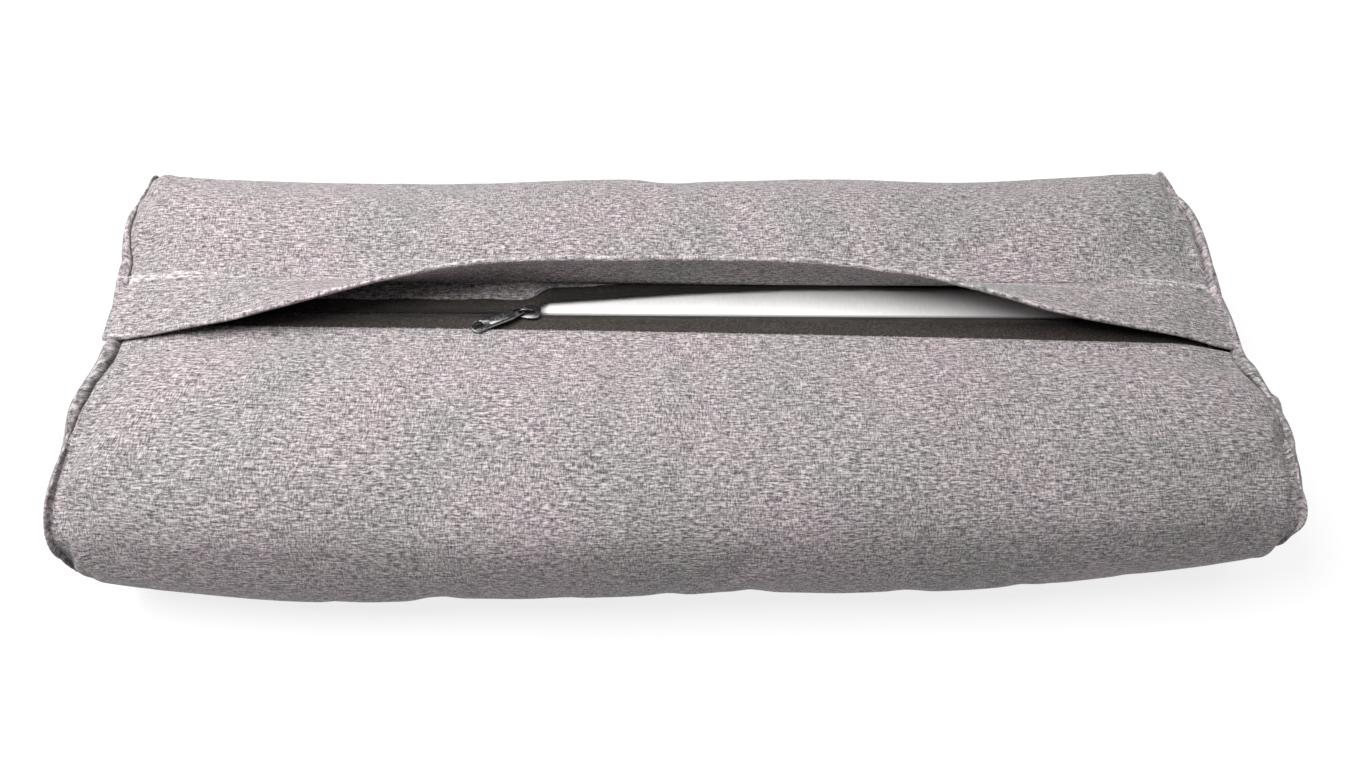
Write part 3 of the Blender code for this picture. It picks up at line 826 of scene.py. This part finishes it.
def inside_skin(v, grid, gap, rounds=3):
    """Move points to at least gap inside the cover. The open mouth has no cover above it and is left alone."""
    v = np.array(v, float)
    nx, ny = grid
    for turn in range(rounds):
        mouth = (v[:, 2] > 0.080) & (np.abs(v[:, 1] - 0.012) < 0.020 + 0.004)
        for i in np.nonzero(~mouth)[0]:
            loc, normal, _, _ = SKIN_TREE.find_nearest(Vector(v[i]))
            depth = (Vector(v[i]) - loc).dot(normal)
            if depth > -gap:
                v[i] -= np.array(normal) * (depth + gap)
        if turn < rounds - 1:
            g = v.reshape(nx, ny, 3)
            soft = (g + np.roll(g, 1, 1) + np.roll(g, -1, 1)) / 3.0
            soft[1:-1] = 0.5 * soft[1:-1] + 0.25 * (soft[:-2] + soft[2:])
            soft = np.where(mouth.reshape(nx, ny, 1), g, soft)
            v = soft.reshape(-1, 3)
    # and below the top, above the underside and between the ends, measured straight along each axis
    for i in range(len(v)):
        x, y, z = v[i]
        if abs(x) < 0.25:
            continue
        core = np.array([0.245 if x > 0 else -0.245, float(np.clip(y, -0.075, 0.075)), 0.055])
        way = v[i] - core
        far = float(np.linalg.norm(way))
        hit = SKIN_TREE.ray_cast(Vector(core), Vector(way / far))
        if hit[0] is not None and far > hit[3] - gap:
            v[i] = core + way / far * (hit[3] - gap)
    v[:, 2] = np.maximum(v[:, 2], 0.0012)
    return v


def split_skin(which, name):
    bm = bmesh.new()
    bm.from_mesh(skin.data)
    bmesh.ops.delete(bm, geom=[f for f in bm.faces if f.material_index != which], context="FACES")
    loose = [v for v in bm.verts if not v.link_faces]
    bmesh.ops.delete(bm, geom=loose, context="VERTS")
    for f in bm.faces:
        f.material_index = 0
        f.smooth = True
    mesh = bpy.data.meshes.new(name)
    bm.to_mesh(mesh)
    bm.free()
    mesh.materials.append(HEATHER)
    obj = bpy.data.objects.new(name, mesh)
    scene.collection.objects.link(obj)
    solidify(obj, CLOTH_T, -1.0).use_even_offset = False
    return bake_modifiers(obj)


cover_wrap = split_skin(0, "cover_wrap_cloth")
cover_left = split_skin(1, "cover_end_cloth_left")
cover_right = split_skin(2, "cover_end_cloth_right")
bpy.data.objects.remove(skin, do_unlink=True)

for piece, node in ((cover_wrap, "cover_wrap"), (cover_left, "cover_end_left"), (cover_right, "cover_end_right")):
    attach(piece, "cover")
    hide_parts(node)


# ---------------------------------------------------------------- zip
LIP_A = (-0.0870, -0.0555)      # the halves part quickly inside the slider's nose
LIP_B = (-0.2044, 0.0916)       # and then slowly
LIP_TURN = -0.0730              # where one passes into the other


def lip(x):
    """How far the rear chain half stands back from the meeting line."""
    x = np.asarray(x, float)
    a = smooth((x - LIP_A[0]) / (LIP_A[1] - LIP_A[0]))
    b = smooth((x - LIP_B[0]) / (LIP_B[1] - LIP_B[0]))
    c = 1 - smooth((x - LIP_BACK) / (LIP_END - LIP_BACK))
    return LIP_OPEN * np.where(x < LIP_TURN, a, np.where(x < 0.10, b, c))


def dip_at(x):
    return -end_dip(np.asarray(x, float))


def strip(name, x0, x1, nx, y_near, y_far, z, thickness, mat, ny=4, wave=None, rise=0.0):
    """A flat tape from x0 to x1. y_near and y_far are functions of x."""
    xs = np.linspace(x0, x1, nx) if np.isscalar(nx) else nx
    nx = len(xs)
    k = np.linspace(0, 1, ny)
    X = np.repeat(xs, ny)
    yn, yf = np.repeat(y_near(xs), ny), np.repeat(y_far(xs), ny)
    kk = np.tile(k, nx)
    Y = yn + (yf - yn) * kk
    Z = z + dip_at(X) * 0.9 + (rise(X) if callable(rise) else rise) * kk * kk
    if wave is not None:
        Z = Z + wave(X, Y)
    uv = np.stack([X + 0.31, Y - yn + 1.4], 1)
    o = make_mesh(name, np.stack([X, Y, Z], 1), grid_faces(nx, ny), mat, uv)
    if o.data.polygons[0].normal.z < 0:
        o.data.flip_normals()
    solidify(o, thickness, 0.0)
    return bake_modifiers(o)


tape_wave = waves(31, 0.060, 5)
TAPE_NEAR = COIL_W + 0.0004


def tape_ripple(x, y):
    return 0.00018 * tape_wave(x, y * 0.3)


front_tape = strip("front_tape_cloth", -TAPE_X, TAPE_X, 150, lambda x: np.full(len(x), ZIP_Y - 0.0012),
                   lambda x: front_edge(x) - 0.0052, ZIP_Z - 0.0001, TAPE_T, TAPE, 6, tape_ripple)
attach(front_tape, "cover")
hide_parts("zip_tape_front")

X_SPLIT = 0.1000        # the rear lip stands straight here
LIP_PARTS = (("a", -TAPE_X, LIP_TURN, 90), ("b", LIP_TURN, X_SPLIT, 80), ("c", X_SPLIT, TAPE_X, 70))


def blend_lip(obj, part):
    if part == "a":
        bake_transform(obj)
    elif part == "b":
        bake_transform(obj)
    else:
        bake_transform(obj)


def stations(part, x0, x1, nx):
    """Closer together where the lip turns."""
    if part != "a":
        return np.linspace(x0, x1, nx)
    return np.concatenate([np.linspace(x0, LIP_A[0], nx - 24)[:-1], np.linspace(LIP_A[0], x1, 25)])


rear_pieces = {}
for part, x0, x1, nx in LIP_PARTS:
    rear_pieces["tape", part] = strip("rear_tape_cloth_" + part, x0, x1, stations(part, x0, x1, nx), lambda x: ZIP_Y + 0.0012 + lip(x),
                                      lambda x: ZIP_Y + 0.0156 + lip(x), ZIP_Z - 0.0001, TAPE_T, TAPE, 6,
                                      lambda x, y: 0.00018 * tape_wave(x, 0.5 + 0 * y))

PITCH = 0.00128


def coil(name, x0, x1, sign, offset, phase=0.0):
    """Flattened nylon turns beside the meeting line. sign is -1 for the front half, 1 for the rear half."""
    first, last = math.ceil(x0 / PITCH), math.floor(x1 / PITCH)
    per = 10
    n = (last - first) * per + 1
    k = np.arange(n) / per + first
    a = 2 * math.pi * k
    x = (k + phase) * PITCH
    # a turn: its head locks past the meeting line, its tail lies on the tape
    head, tail = -0.00025, COIL_W
    y = ZIP_Y + sign * ((head + tail) / 2 + (tail - head) / 2 * np.cos(a)) + offset(x)
    z = ZIP_Z + 0.00005 + (COIL_H / 2 - 0.00022) * np.sin(a) + dip_at(x) * 0.9
    x = x + 0.00016 * np.sin(2 * a)
    v, f = tube(np.stack([x, y, z], 1), 0.00025, 5, flat=(1.25, 0.85), up=(1.0, 0.0, 0.0))
    return v, f


front_coil_parts = coil("front", -TAPE_X + 0.004, TAPE_X - 0.004, -1.0, lambda x: 0 * x)
front_coil = make_mesh("front_coil_turns", *front_coil_parts, NYLON)
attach(front_coil, "cover")
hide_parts("zip_coil_front")

def cord_core(x0, x1, nx, sign, offset):
    """The woven filler cord inside a chain half, with the stitch ridge that holds the turns."""
    xs = np.linspace(x0, x1, 2 * nx)
    p = np.stack([xs, ZIP_Y + sign * 0.00150 + offset(xs), np.full(len(xs), ZIP_Z) + dip_at(xs) * 0.9], 1)
    return tube(p, 0.00052, 6, flat=(1.4, 0.9))


front_core = make_mesh("front_coil_cord", *cord_core(-TAPE_X + 0.003, TAPE_X - 0.003, 120, -1.0, lambda x: 0 * x), TAPE,
                       uvs=None)
front_core.data.uv_layers.new(name="cloth")
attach(front_core, "cover")


LIP_NODES = {("tape", "a"): "zip_tape_rear_closed", ("tape", "b"): "zip_tape_rear_open",
             ("coil", "a"): "zip_coil_rear_closed", ("coil", "b"): "zip_coil_rear_open"}
for part, x0, x1, nx in LIP_PARTS:
    c0 = x0 + (0.004 if part == "a" else 0.0)
    c1 = x1 - (0.004 if part == "c" else 0.0)
    rear_pieces["coil", part] = make_mesh("rear_coil_turns_" + part, *coil("rear", c0, c1, 1.0, lip, 0.5), NYLON)
    core = make_mesh("rear_coil_cord_" + part, *cord_core(c0, c1, nx, 1.0, lip), TAPE)
    core.data.uv_layers.new(name="cloth")
    rear_pieces["core", part] = core
    # cloth facing sewn on the rear tape, under the flap
    f0 = x0 - (0.006 if part == "a" else 0.0)
    f1 = x1 + (0.006 if part == "c" else 0.0)
    rear_pieces["facing", part] = strip("flap_facing_" + part, f0, f1, stations(part, f0, f1, nx),
                                        lambda x: ZIP_Y + 0.0088 + lip(x) + 0.0004 * np.sin(x * 160),
                                        lambda x: ZIP_Y + 0.0225 + lip(x), ZIP_Z + 0.00075, 0.0007, HEATHER_FACING, 7,
                                        rise=lambda x: 0.0030 - 0.0026 * smooth(1.6 * lip(x) / LIP_OPEN))

for (kind, part), o in rear_pieces.items():
    blend_lip(o, part)
    if (kind, part) in LIP_NODES:
        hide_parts(LIP_NODES[kind, part])


def tack(name, x, node):
    """A bar of close zigzag stitches across the chain."""
    z = ZIP_Z + COIL_H / 2 + 0.0002 + float(dip_at(x)) * 0.9
    parts = []
    n = 15
    pts = []
    for i in range(n):
        xx = x + (i / (n - 1) - 0.5) * 0.0030
        yy = ZIP_Y + (0.0040 if i % 2 else -0.0040)
        pts.append((xx, yy, z - 0.0008))
        pts.append((xx + 0.00005, ZIP_Y + (0.0012 if i % 2 else -0.0012), z + 0.00022))
    parts.append(tube(pts, 0.00019, 6))
    for s in (-1, 1):
        parts.append(tube([(x + s * 0.0013, ZIP_Y - 0.0036 + 0.0072 * k / 8, z + 0.0001 - 0.0006 * abs(k / 4 - 1) ** 2) for k in range(9)], 0.00020, 6))
    o = make_mesh(name, *gather(parts), DARK_THREAD)
    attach(o, "cover")
    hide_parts(node)


tack("left_bar_tack", -TACK_X, "zip_tack_left")
tack("right_bar_tack", TACK_X, "zip_tack_right")


# ---------------------------------------------------------------- flap
def flap_w(x):
    x = np.asarray(x, float)
    return np.where(x < 0, smooth((x - FLAP_ENDS[0]) / (FLAP_MID[0] - FLAP_ENDS[0])),
                    1 - smooth((x - FLAP_MID[1]) / (FLAP_ENDS[1] - FLAP_MID[1])))


def flap_width(x):
    """From the hinge line to the fold. The root stands further forward towards the ends."""
    x = np.asarray(x, float)
    return 0.0310 + 0.0072 * np.where(x < 0, smooth((-x - 0.10) / 0.20), smooth((x - 0.10) / 0.20))


flap_lumps, flap_fine = waves(41, 0.090, 7), waves(43, 0.028, 7)


def flap_points(x, r, side):
    """Points of the flap at distance r from the hinge line; side is 1 for the upper layer and -1 for the lower."""
    w = flap_width(x)
    k = np.clip(r / w, 0, 1)
    tent = 0.0022 * np.sin(np.pi * k) * (1 - flap_w(x) * 0.6)
    wavy = 0.0008 * flap_lumps(x, r) * k + 0.00025 * flap_fine(x, r) * k
    # two layers of cloth, rolled at the fold
    half = 0.00075 + 0.00075 * np.exp(-((w - r - 0.0017) / 0.0024) ** 2)
    tip = np.clip((w - r) / 0.0015, 0, 1)
    half = half * np.sqrt(1 - (1 - tip) ** 2)
    h = tent + wavy + side * half
    a = FLAP_LIFT * flap_w(x)
    y = HINGE_Y - r * np.cos(a) + h * np.sin(a)
    z = HINGE_Z + r * np.sin(a) + h * np.cos(a)
    return x, y, z + dip_at(x) * (1 - 0.0 * k)


def flap_half(name, x0, x1, nx):
    xs = np.linspace(x0, x1, nx)
    # upper layer from root to fold, then the lower layer back
    ks = np.concatenate([np.linspace(0, 0.90, 12), 0.90 + 0.10 * np.sin(np.linspace(0, 1, 9)[1:] * math.pi / 2)])
    loop_k = np.concatenate([ks, ks[::-1][1:]])
    loop_s = np.concatenate([np.ones(len(ks)), -np.ones(len(ks) - 1)])
    m = len(loop_k)
    X = np.repeat(xs, m)
    kk = np.tile(loop_k, nx)
    ss = np.tile(loop_s, nx)
    w = flap_width(X)
    root = 0.0010 + 0.0045 * (1 - flap_w(X)) ** 2
    r = -root + (w + root) * kk
    x, y, z = flap_points(X, r, ss)
    # at its sewn ends the upper layer runs back over the wrap, flush with it
    flat = smooth((0.35 - flap_w(X)) / 0.30) * smooth((0.0040 - r) / 0.0050)
    for i in np.nonzero(flat > 0.01)[0]:
        hit = SKIN_TREE.ray_cast(Vector((x[i], max(y[i], REAR_Y + 0.0006), 0.13)), Vector((0, 0, -1)))
        if hit[0] is not None and hit[0].z > 0.080:
            want = hit[0].z + (0.00012 if ss[i] > 0 else -0.00030)
            z[i] += flat[i] * (want - z[i])
    uv = np.stack([X + 0.31, np.where(ss > 0, 0.72 - r, 0.72 - 2 * w + r)], 1)
    o = make_mesh(name, np.stack([x, y, z], 1), grid_faces(nx, m), HEATHER, uv)
    if min(o.data.polygons, key=lambda p: p.center.x - p.center.z).normal.z < 0:
        pass
    mids = np.array([p.center for p in o.data.polygons])
    top_face = o.data.polygons[5]
    if top_face.normal.z + top_face.normal.y < 0:
        o.data.flip_normals()
    o.data.materials.append(HEATHER_FOLD_PAINTED_HIGHLIGHT)
    o.data.materials.append(HEATHER_LOWER_PAINTED_LIGHT)
    for p in o.data.polygons:
        j = (p.index % (m - 1))
        # faces at the fold take the lighter copy of the cloth, a painted highlight
        if ks[min(j, len(ks) - 1)] > 0.93 and j < len(ks) + 1:
            p.material_index = 1
        # the lower layer takes the lightest copy of the cloth, painted light
        elif j >= len(ks):
            p.material_index = 2
    solidify(o, 0.0006, -1.0).use_even_offset = False
    return bake_modifiers(o)


X_FLAP = 0.0            # the flap's two halves meet here, where it stands straight
flap_left = flap_half("flap_cloth_left", -0.3042, X_FLAP, 120)
flap_right = flap_half("flap_cloth_right", X_FLAP, 0.3050, 120)


def stitches(name, points_at, x0, x1, length, gap, radius, mat):
    """A row of lockstitches. points_at gives the surface point and a small sink at the ends of each stitch."""
    parts = []
    x = x0
    while x + length < x1:
        xs = np.linspace(x, x + length, 7)
        k = np.linspace(-1, 1, 7)
        p = points_at(xs, k)
        parts.append(tube(p, radius * (1 - 0.35 * k ** 4), 6, flat=(1.15, 0.8)))
        x += length + gap
    return make_mesh(name, *gather(parts), mat)


def topstitch(xs, k):
    w = flap_width(xs)
    r = w - 0.0308
    r = np.maximum(r, 0.0006)
    x, y, z = flap_points(xs, r, np.ones(len(xs)))
    a = FLAP_LIFT * flap_w(xs)
    lift = 0.00012 - 0.00045 * k ** 4
    return np.stack([x, y + lift * np.sin(a), z + lift * np.cos(a)], 1)


stitch_left = stitches("flap_topstitch_left", topstitch, -0.2965, X_FLAP, 0.0026, 0.0005, 0.00026, THREAD)
stitch_right = stitches("flap_topstitch_right", topstitch, X_FLAP, 0.2965, 0.0026, 0.0005, 0.00026, THREAD)

for o in (flap_left, stitch_left):
    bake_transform(o)
for o in (flap_right, stitch_right):
    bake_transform(o)
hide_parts("flap_left", "flap_middle")
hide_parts("flap_right")


# ---------------------------------------------------------------- fray along the front edge
rng = np.random.RandomState(7)
fray = []
for i in range(900):
    x = rng.uniform(-0.285, 0.285)
    y0 = float(front_edge(x)) - 0.0004
    length = rng.uniform(0.0004, 0.0014)
    a = rng.normal(0, 0.5)
    z0 = 0.0957 + float(dip_at(x)) * 0.9
    p = [(x, y0, z0), (x + math.sin(a) * length * 0.5, y0 + length * 0.5 + 0.0003, z0 + rng.uniform(0, 0.0002)),
         (x + math.sin(a) * length * 1.1, y0 + length + 0.0004, z0 - rng.uniform(0, 0.0003))]
    fray.append(tube(p, 0.00007, 3))
fray_obj = make_mesh("front_edge_fray", *gather(fray), LINT)
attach(fray_obj, "cover")


# ---------------------------------------------------------------- slider
def outline_prism(name, pts, z0, z1, mat, bevel=0.0002, segments=2):
    bm = bmesh.new()
    vs = [bm.verts.new((x, y, z0)) for x, y in pts]
    f = bm.faces.new(vs)
    r = bmesh.ops.extrude_face_region(bm, geom=[f])
    for v in [g for g in r["geom"] if isinstance(g, bmesh.types.BMVert)]:
        v.co.z = z1
    bmesh.ops.recalc_face_normals(bm, faces=bm.faces)
    if bevel:
        bmesh.ops.bevel(bm, geom=list(bm.edges), offset=bevel, segments=segments, affect="EDGES", profile=0.6, clamp_overlap=True)
    mesh = bpy.data.meshes.new(name)
    bm.to_mesh(mesh)
    bm.free()
    mesh.materials.append(mat)
    o = bpy.data.objects.new(name, mesh)
    scene.collection.objects.link(o)
    return o


def shield(scale=1.0, n=14):
    """Outline of a slider plate: round shoulders at the nose (+X), narrow at the tail."""
    L, W = SLIDER_L * scale, SLIDER_W * scale
    half = []
    for i in range(n + 1):
        k = i / n
        x = -L / 2 + L * k
        tail = 1 - max(0.0, (0.16 - k) / 0.16) ** 2 * 0.45
        nose = math.sqrt(max(0.0, 1 - max(0.0, (k - 0.78) / 0.22) ** 2.2)) * 0.55 + 0.45 if k > 0.78 else 1.0
        w = W / 2 * (0.78 + 0.22 * float(smooth((k - 0.25) / 0.40))) * tail * nose
        half.append((x, w))
    return [(x, w) for x, w in half] + [(x, -w) for x, w in reversed(half)]


def at_slider(o):
    o.data.transform(Matrix.Translation((SLIDER_X, ZIP_Y, ZIP_Z)))
    return o


half_gap = CHANNEL_H / 2
top_plate = outline_prism("top", shield(), half_gap, half_gap + PLATE_T, ENAMEL, 0.00022)
low_plate = outline_prism("low", shield(), -half_gap - PLATE_T, -half_gap, ENAMEL, 0.00022)
flanges = []
for s in (-1, 1):
    for z0, z1 in ((TAPE_SLOT / 2, half_gap + 0.0002), (-half_gap - 0.0002, -TAPE_SLOT / 2)):
        pts = []
        for i in range(9):
            k = i / 8
            x = -SLIDER_L / 2 + 0.0012 + (SLIDER_L - 0.0052) * k
            w = SLIDER_W / 2 * (0.78 + 0.22 * float(smooth(((x / SLIDER_L + 0.5) - 0.25) / 0.40))) - 0.00018
            pts.append((x, w))
        poly = [(x, s * w) for x, w in pts] + [(x, s * (w - 0.0008)) for x, w in reversed(pts)]
        flanges.append(outline_prism("flange", poly, z0, z1, ENAMEL, 0.0001, 1))
post_pts = [(SLIDER_L / 2 - 0.0015, 0.0006), (SLIDER_L / 2 - 0.0030, 0.0013), (SLIDER_L / 2 - 0.0050, 0.0006), (SLIDER_L / 2 - 0.0058, 0.0001),
            (SLIDER_L / 2 - 0.0050, -0.0001), (SLIDER_L / 2 - 0.0030, -0.0002), (SLIDER_L / 2 - 0.0015, -0.0001)]
post = outline_prism("post", post_pts, -half_gap - 0.0002, half_gap + 0.0002, ENAMEL, 0.0)
slider = join("slider_casting", [top_plate, low_plate, *flanges, post])
slider.data.set_sharp_from_angle(angle=math.radians(40))
for p in slider.data.polygons:
    p.use_smooth = True
at_slider(slider)
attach(slider, "slider")
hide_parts("slider_body")

# bridge: an arched strap over the top plate
PLATE_TOP = CHANNEL_H / 2 + PLATE_T
n = 25
arch = []
for i in range(n):
    k = i / (n - 1) * 2 - 1
    arch.append((k * 0.0046, 0.0, PLATE_TOP - 0.0001 + 0.0022 * (1 - abs(k) ** 3.2)))
bv, bf = tube(arch, 0.00088, 10, flat=(1.0, 0.50))
bridge = make_mesh("slider_arch", bv, bf, ENAMEL)
at_slider(bridge)
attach(bridge, "slider")
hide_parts("slider_bridge")


# pull tab: a flat bar with a raised rim round its eye and a loop at the bridge
def pull_outline():
    pts = []
    x1 = PULL_EYE
    w = PULL_W / 2
    neck = 0.0052
    pts += [(-0.0006, -0.0023), (0.0030, -0.0030), (neck, -w * 0.86), (neck + 0.0012, -w)]
    pts += [(x1 - 0.0030, -w * 1.0)]
    a0 = math.asin(min(1.0, w / PULL_EYE_R)) if w < PULL_EYE_R else math.pi / 2
    for i in range(17):
        a = -math.pi / 2 - 0.0 + math.pi * i / 16
        pts.append((x1 + PULL_EYE_R * math.cos(a), PULL_EYE_R * math.sin(a)))
    pts += [(x1 - 0.0030, w), (neck + 0.0012, w), (neck, w * 0.86), (0.0030, 0.0030), (-0.0006, 0.0023)]
    return pts


def prism_with_holes(name, outer, holes, z0, z1, mat, bevel):
    """A plate with holes, by exact difference."""
    o = outline_prism(name, outer, z0, z1, mat, 0.0)
    for i, h in enumerate(holes):
        c = outline_prism(name + "_cut", h, z0 - 0.001, z1 + 0.001, mat, 0.0)
        m = o.modifiers.new("cut", "BOOLEAN")
        m.operation, m.solver, m.object = "DIFFERENCE", "EXACT", c
        bake_modifiers(o)
        bpy.data.objects.remove(c, do_unlink=True)
    m = o.modifiers.new("bevel", "BEVEL")
    m.width, m.segments, m.limit_method, m.angle_limit = bevel, 3, "ANGLE", math.radians(50)
    return bake_modifiers(o)


window = [(0.0006, -0.0017), (0.0040, -0.0022), (0.0044, -0.0017), (0.0044, 0.0017), (0.0040, 0.0022), (0.0006, 0.0017)]
eye = [(PULL_EYE + PULL_HOLE_R * math.cos(a), PULL_HOLE_R * math.sin(a)) for a in np.linspace(0, 2 * math.pi, 28, endpoint=False)]
pull = prism_with_holes("pull_bar", pull_outline(), [window, eye], -PULL_T / 2, PULL_T / 2, ENAMEL, 0.00028)
rim_pts = [(PULL_EYE + 0.0035 * math.cos(a), 0.0035 * math.sin(a), PULL_T / 2 - 0.00005) for a in np.linspace(0, 2 * math.pi, 40, endpoint=False)]
rim = make_mesh("rim", *tube(rim_pts, 0.00042, 8, closed=True), ENAMEL)
panel = outline_prism("panel", [(0.0078, -0.0022), (0.0180, -0.0022), (0.0188, -0.0014), (0.0188, 0.0014), (0.0180, 0.0022), (0.0078, 0.0022)],
                      PULL_T / 2 - 0.0002, PULL_T / 2 + 0.00022, ENAMEL, 0.00012)
pull = join("pull_tab_bar", [pull, rim, panel])
pull.data.set_sharp_from_angle(angle=math.radians(40))
pull.data.transform(Matrix.Translation((PULL_AXIS_X, ZIP_Y, ZIP_Z + PLATE_TOP + 0.0009)) @ Matrix.Rotation(PULL_YAW, 4, "Z"))
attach(pull, "pull")
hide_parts("pull_tab")


# ---------------------------------------------------------------- inner pillow
def inner_surface(name, inset, top, floor, nx, nv, mat, span, bulge, lumpy, caps):
    xs = span * np.sin(np.linspace(-1, 1, nx) * K) / math.sin(K)
    t = np.linspace(0, 2 * math.pi, nv, endpoint=False)
    X = np.repeat(xs, nv)
    T = np.tile(t, nx)
    a = half_width(X) - inset
    low = BASE_Z + floor_lift(X) + 0.0022 * np.clip((np.abs(X) - LIFT_FROM + 0.03) / 0.05, 0, 1) + floor
    mid, h = (top + low) / 2, (top - low) / 2
    y = a * spow(np.cos(T), 2 / 4.4)
    z = mid + h * spow(np.sin(T), 2 / 4.4)
    up = np.clip((z - mid) / h, 0, 1) ** 2
    z += up * (bulge * np.exp(-((y - 0.015) / 0.012) ** 2) * np.exp(-((X - 0.08) / 0.16) ** 4) - 0.006 * smooth((np.abs(X) - 0.262) / 0.046))
    z -= up * lumpy * (0.5 + 0.5 * waves(51, 0.05)(X, y))
    z = np.maximum(z, floor)
    if caps:
        pass
    uv = np.stack([X + 0.31, T * 0.105], 1)
    v = morph(np.stack([X, y, z], 1))
    v[:, 0] = np.clip(v[:, 0], X - 0.004, X + 0.004)
    v = inside_skin(v, (nx, nv), 0.0026 if name == "case" else 0.0042)
    return v, grid_faces(nx, nv, wrap_v=True), uv, xs, nv


v, f, uv, xs, nv = inner_surface("case", 0.0048, 0.0918, 0.0012, 61, 96, CASE, 0.2885, 0.0010, 0.0008, False)
case = make_mesh("inner_case_cloth_wrap", v, f, CASE, uv)
bm = bmesh.new(); bm.from_mesh(case.data); bmesh.ops.recalc_face_normals(bm, faces=bm.faces); bm.to_mesh(case.data); bm.free()
if min(case.data.polygons, key=lambda p: -p.center.z).normal.z < 0:
    case.data.flip_normals()
solidify(case, CASE_T, -1.0).use_even_offset = False
bake_modifiers(case)
case_grid = v.reshape(61, nv, 3)


def case_end(name, side, node):
    ring = case_grid[0 if side < 0 else -1]
    c = np.array([0.0, 0.0, 0.057])
    verts, uvs = [], []
    rr = (0.995, 0.97, 0.92, 0.84, 0.72, 0.55, 0.35, 0.15)
    for r in rr:
        p = c + (ring - c) * r
        p[:, 0] = ring[:, 0] + side * (0.0004 + 0.0020 * (1 - r ** 3))
        verts.append(p)
        uvs.append(p[:, 1:] + 0.5)
    verts = np.concatenate(verts + [np.array([[ring[:, 0].mean() + side * 0.0024, c[1], c[2]]])])
    uvs = np.concatenate(uvs + [np.array([[0.5, c[2] + 0.5]])])
    m = len(ring)
    verts[:-1] = inside_skin(verts[:-1], (len(rr), m), 0.0022, 1)
    faces = grid_faces(len(rr), m, wrap_v=True, flip=side > 0)
    last = (len(rr) - 1) * m
    for j in range(m):
        k = (j + 1) % m
        faces.append((last + j, len(verts) - 1, last + k) if side < 0 else (last + k, len(verts) - 1, last + j))
    o = make_mesh(name, verts, faces, CASE, uvs)
    if o.data.polygons[len(o.data.polygons) - 1].normal.x * side < 0:
        o.data.flip_normals()
    solidify(o, CASE_T, -1.0).use_even_offset = False
    bake_modifiers(o)
    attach(o, "cover")
    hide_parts(node)


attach(case, "cover")
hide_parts("inner_case_wrap")
case_end("inner_case_cloth_left", -1.0, "inner_case_end_left")
case_end("inner_case_cloth_right", 1.0, "inner_case_end_right")

v, f, uv, xs, nv = inner_surface("fill", 0.0066, 0.0900, 0.0026, 41, 64, FIBRE, 0.2860, 0.0008, 0.0016, True)
n = len(v)
caps = [tuple(range(nv)), tuple(range(n - nv, n))[::-1]]
fill = make_mesh("fibre_block", v, f + caps, FIBRE)
bm = bmesh.new(); bm.from_mesh(fill.data); bmesh.ops.recalc_face_normals(bm, faces=bm.faces); bm.to_mesh(fill.data); bm.free()
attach(fill, "cover")
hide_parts("inner_fill")

# ---------------------------------------------------------------- floor, light and camera
floor_mat, nt, bsdf = principled("floor", (0.20, 0.20, 0.20), 0.9, **{"Specular_IOR_Level": 0.1})
bsdf.inputs["Emission Color"].default_value = (1.0, 1.0, 1.0, 1.0)
bsdf.inputs["Emission Strength"].default_value = 0.80
floor = make_mesh("floor", [(-3, -3, 0), (3, -3, 0), (3, 3, 0), (-3, 3, 0)], [(0, 1, 2, 3)], floor_mat, smooth_shade=False)

world = bpy.data.worlds.new("studio")
scene.world = world
world.use_nodes = True
bg = world.node_tree.nodes["Background"]
bg.inputs[0].default_value = (1.0, 1.0, 1.0, 1.0)
bg.inputs[1].default_value = 0.05


def area(name, size, power, location, target, colour=(1, 1, 1)):
    light = bpy.data.lights.new(name, "AREA")
    light.shape = "RECTANGLE"
    light.size, light.size_y = size
    light.energy = power
    light.color = colour
    o = bpy.data.objects.new(name, light)
    scene.collection.objects.link(o)
    o.location = location
    o.rotation_euler = (Vector(target) - Vector(location)).to_track_quat("-Z", "Y").to_euler()
    return o


area("key", (0.9, 0.7), 26.5, (-0.58, 0.07, 1.05), (-0.05, -0.02, 0.08), (1.0, 0.985, 0.975))
area("overhead", (2.0, 0.9), 13.5, (0.30, 0.22, 1.35), (0.05, 0.0, 0.05))

scene.view_settings.view_transform = "Standard"
scene.view_settings.look = "None"

E, YAW, ROLL, DIST = math.radians(57.4), math.radians(3.0), math.radians(2.8), 0.577
target = Vector((0.002, -0.0095, 0.05))
fwd = Vector((math.sin(YAW) * math.cos(E), math.cos(YAW) * math.cos(E), -math.sin(E)))
right = Vector((math.cos(YAW), -math.sin(YAW), 0.0))
up = right.cross(fwd)
r2 = right * math.cos(ROLL) + up * math.sin(ROLL)
u2 = -right * math.sin(ROLL) + up * math.cos(ROLL)
cam_data = bpy.data.cameras.new("camera")
cam_data.sensor_width = 36.0
cam_data.lens = 36.0 * 1011.0 / 1366.0
cam_data.clip_start, cam_data.clip_end = 0.01, 20.0
camera = bpy.data.objects.new("camera", cam_data)
scene.collection.objects.link(camera)
camera.matrix_world = Matrix((
    (r2.x, u2.x, -fwd.x, 0.0),
    (r2.y, u2.y, -fwd.y, 0.0),
    (r2.z, u2.z, -fwd.z, 0.0),
    (0.0, 0.0, 0.0, 1.0)))
camera.location = target - fwd * DIST
scene.camera = camera
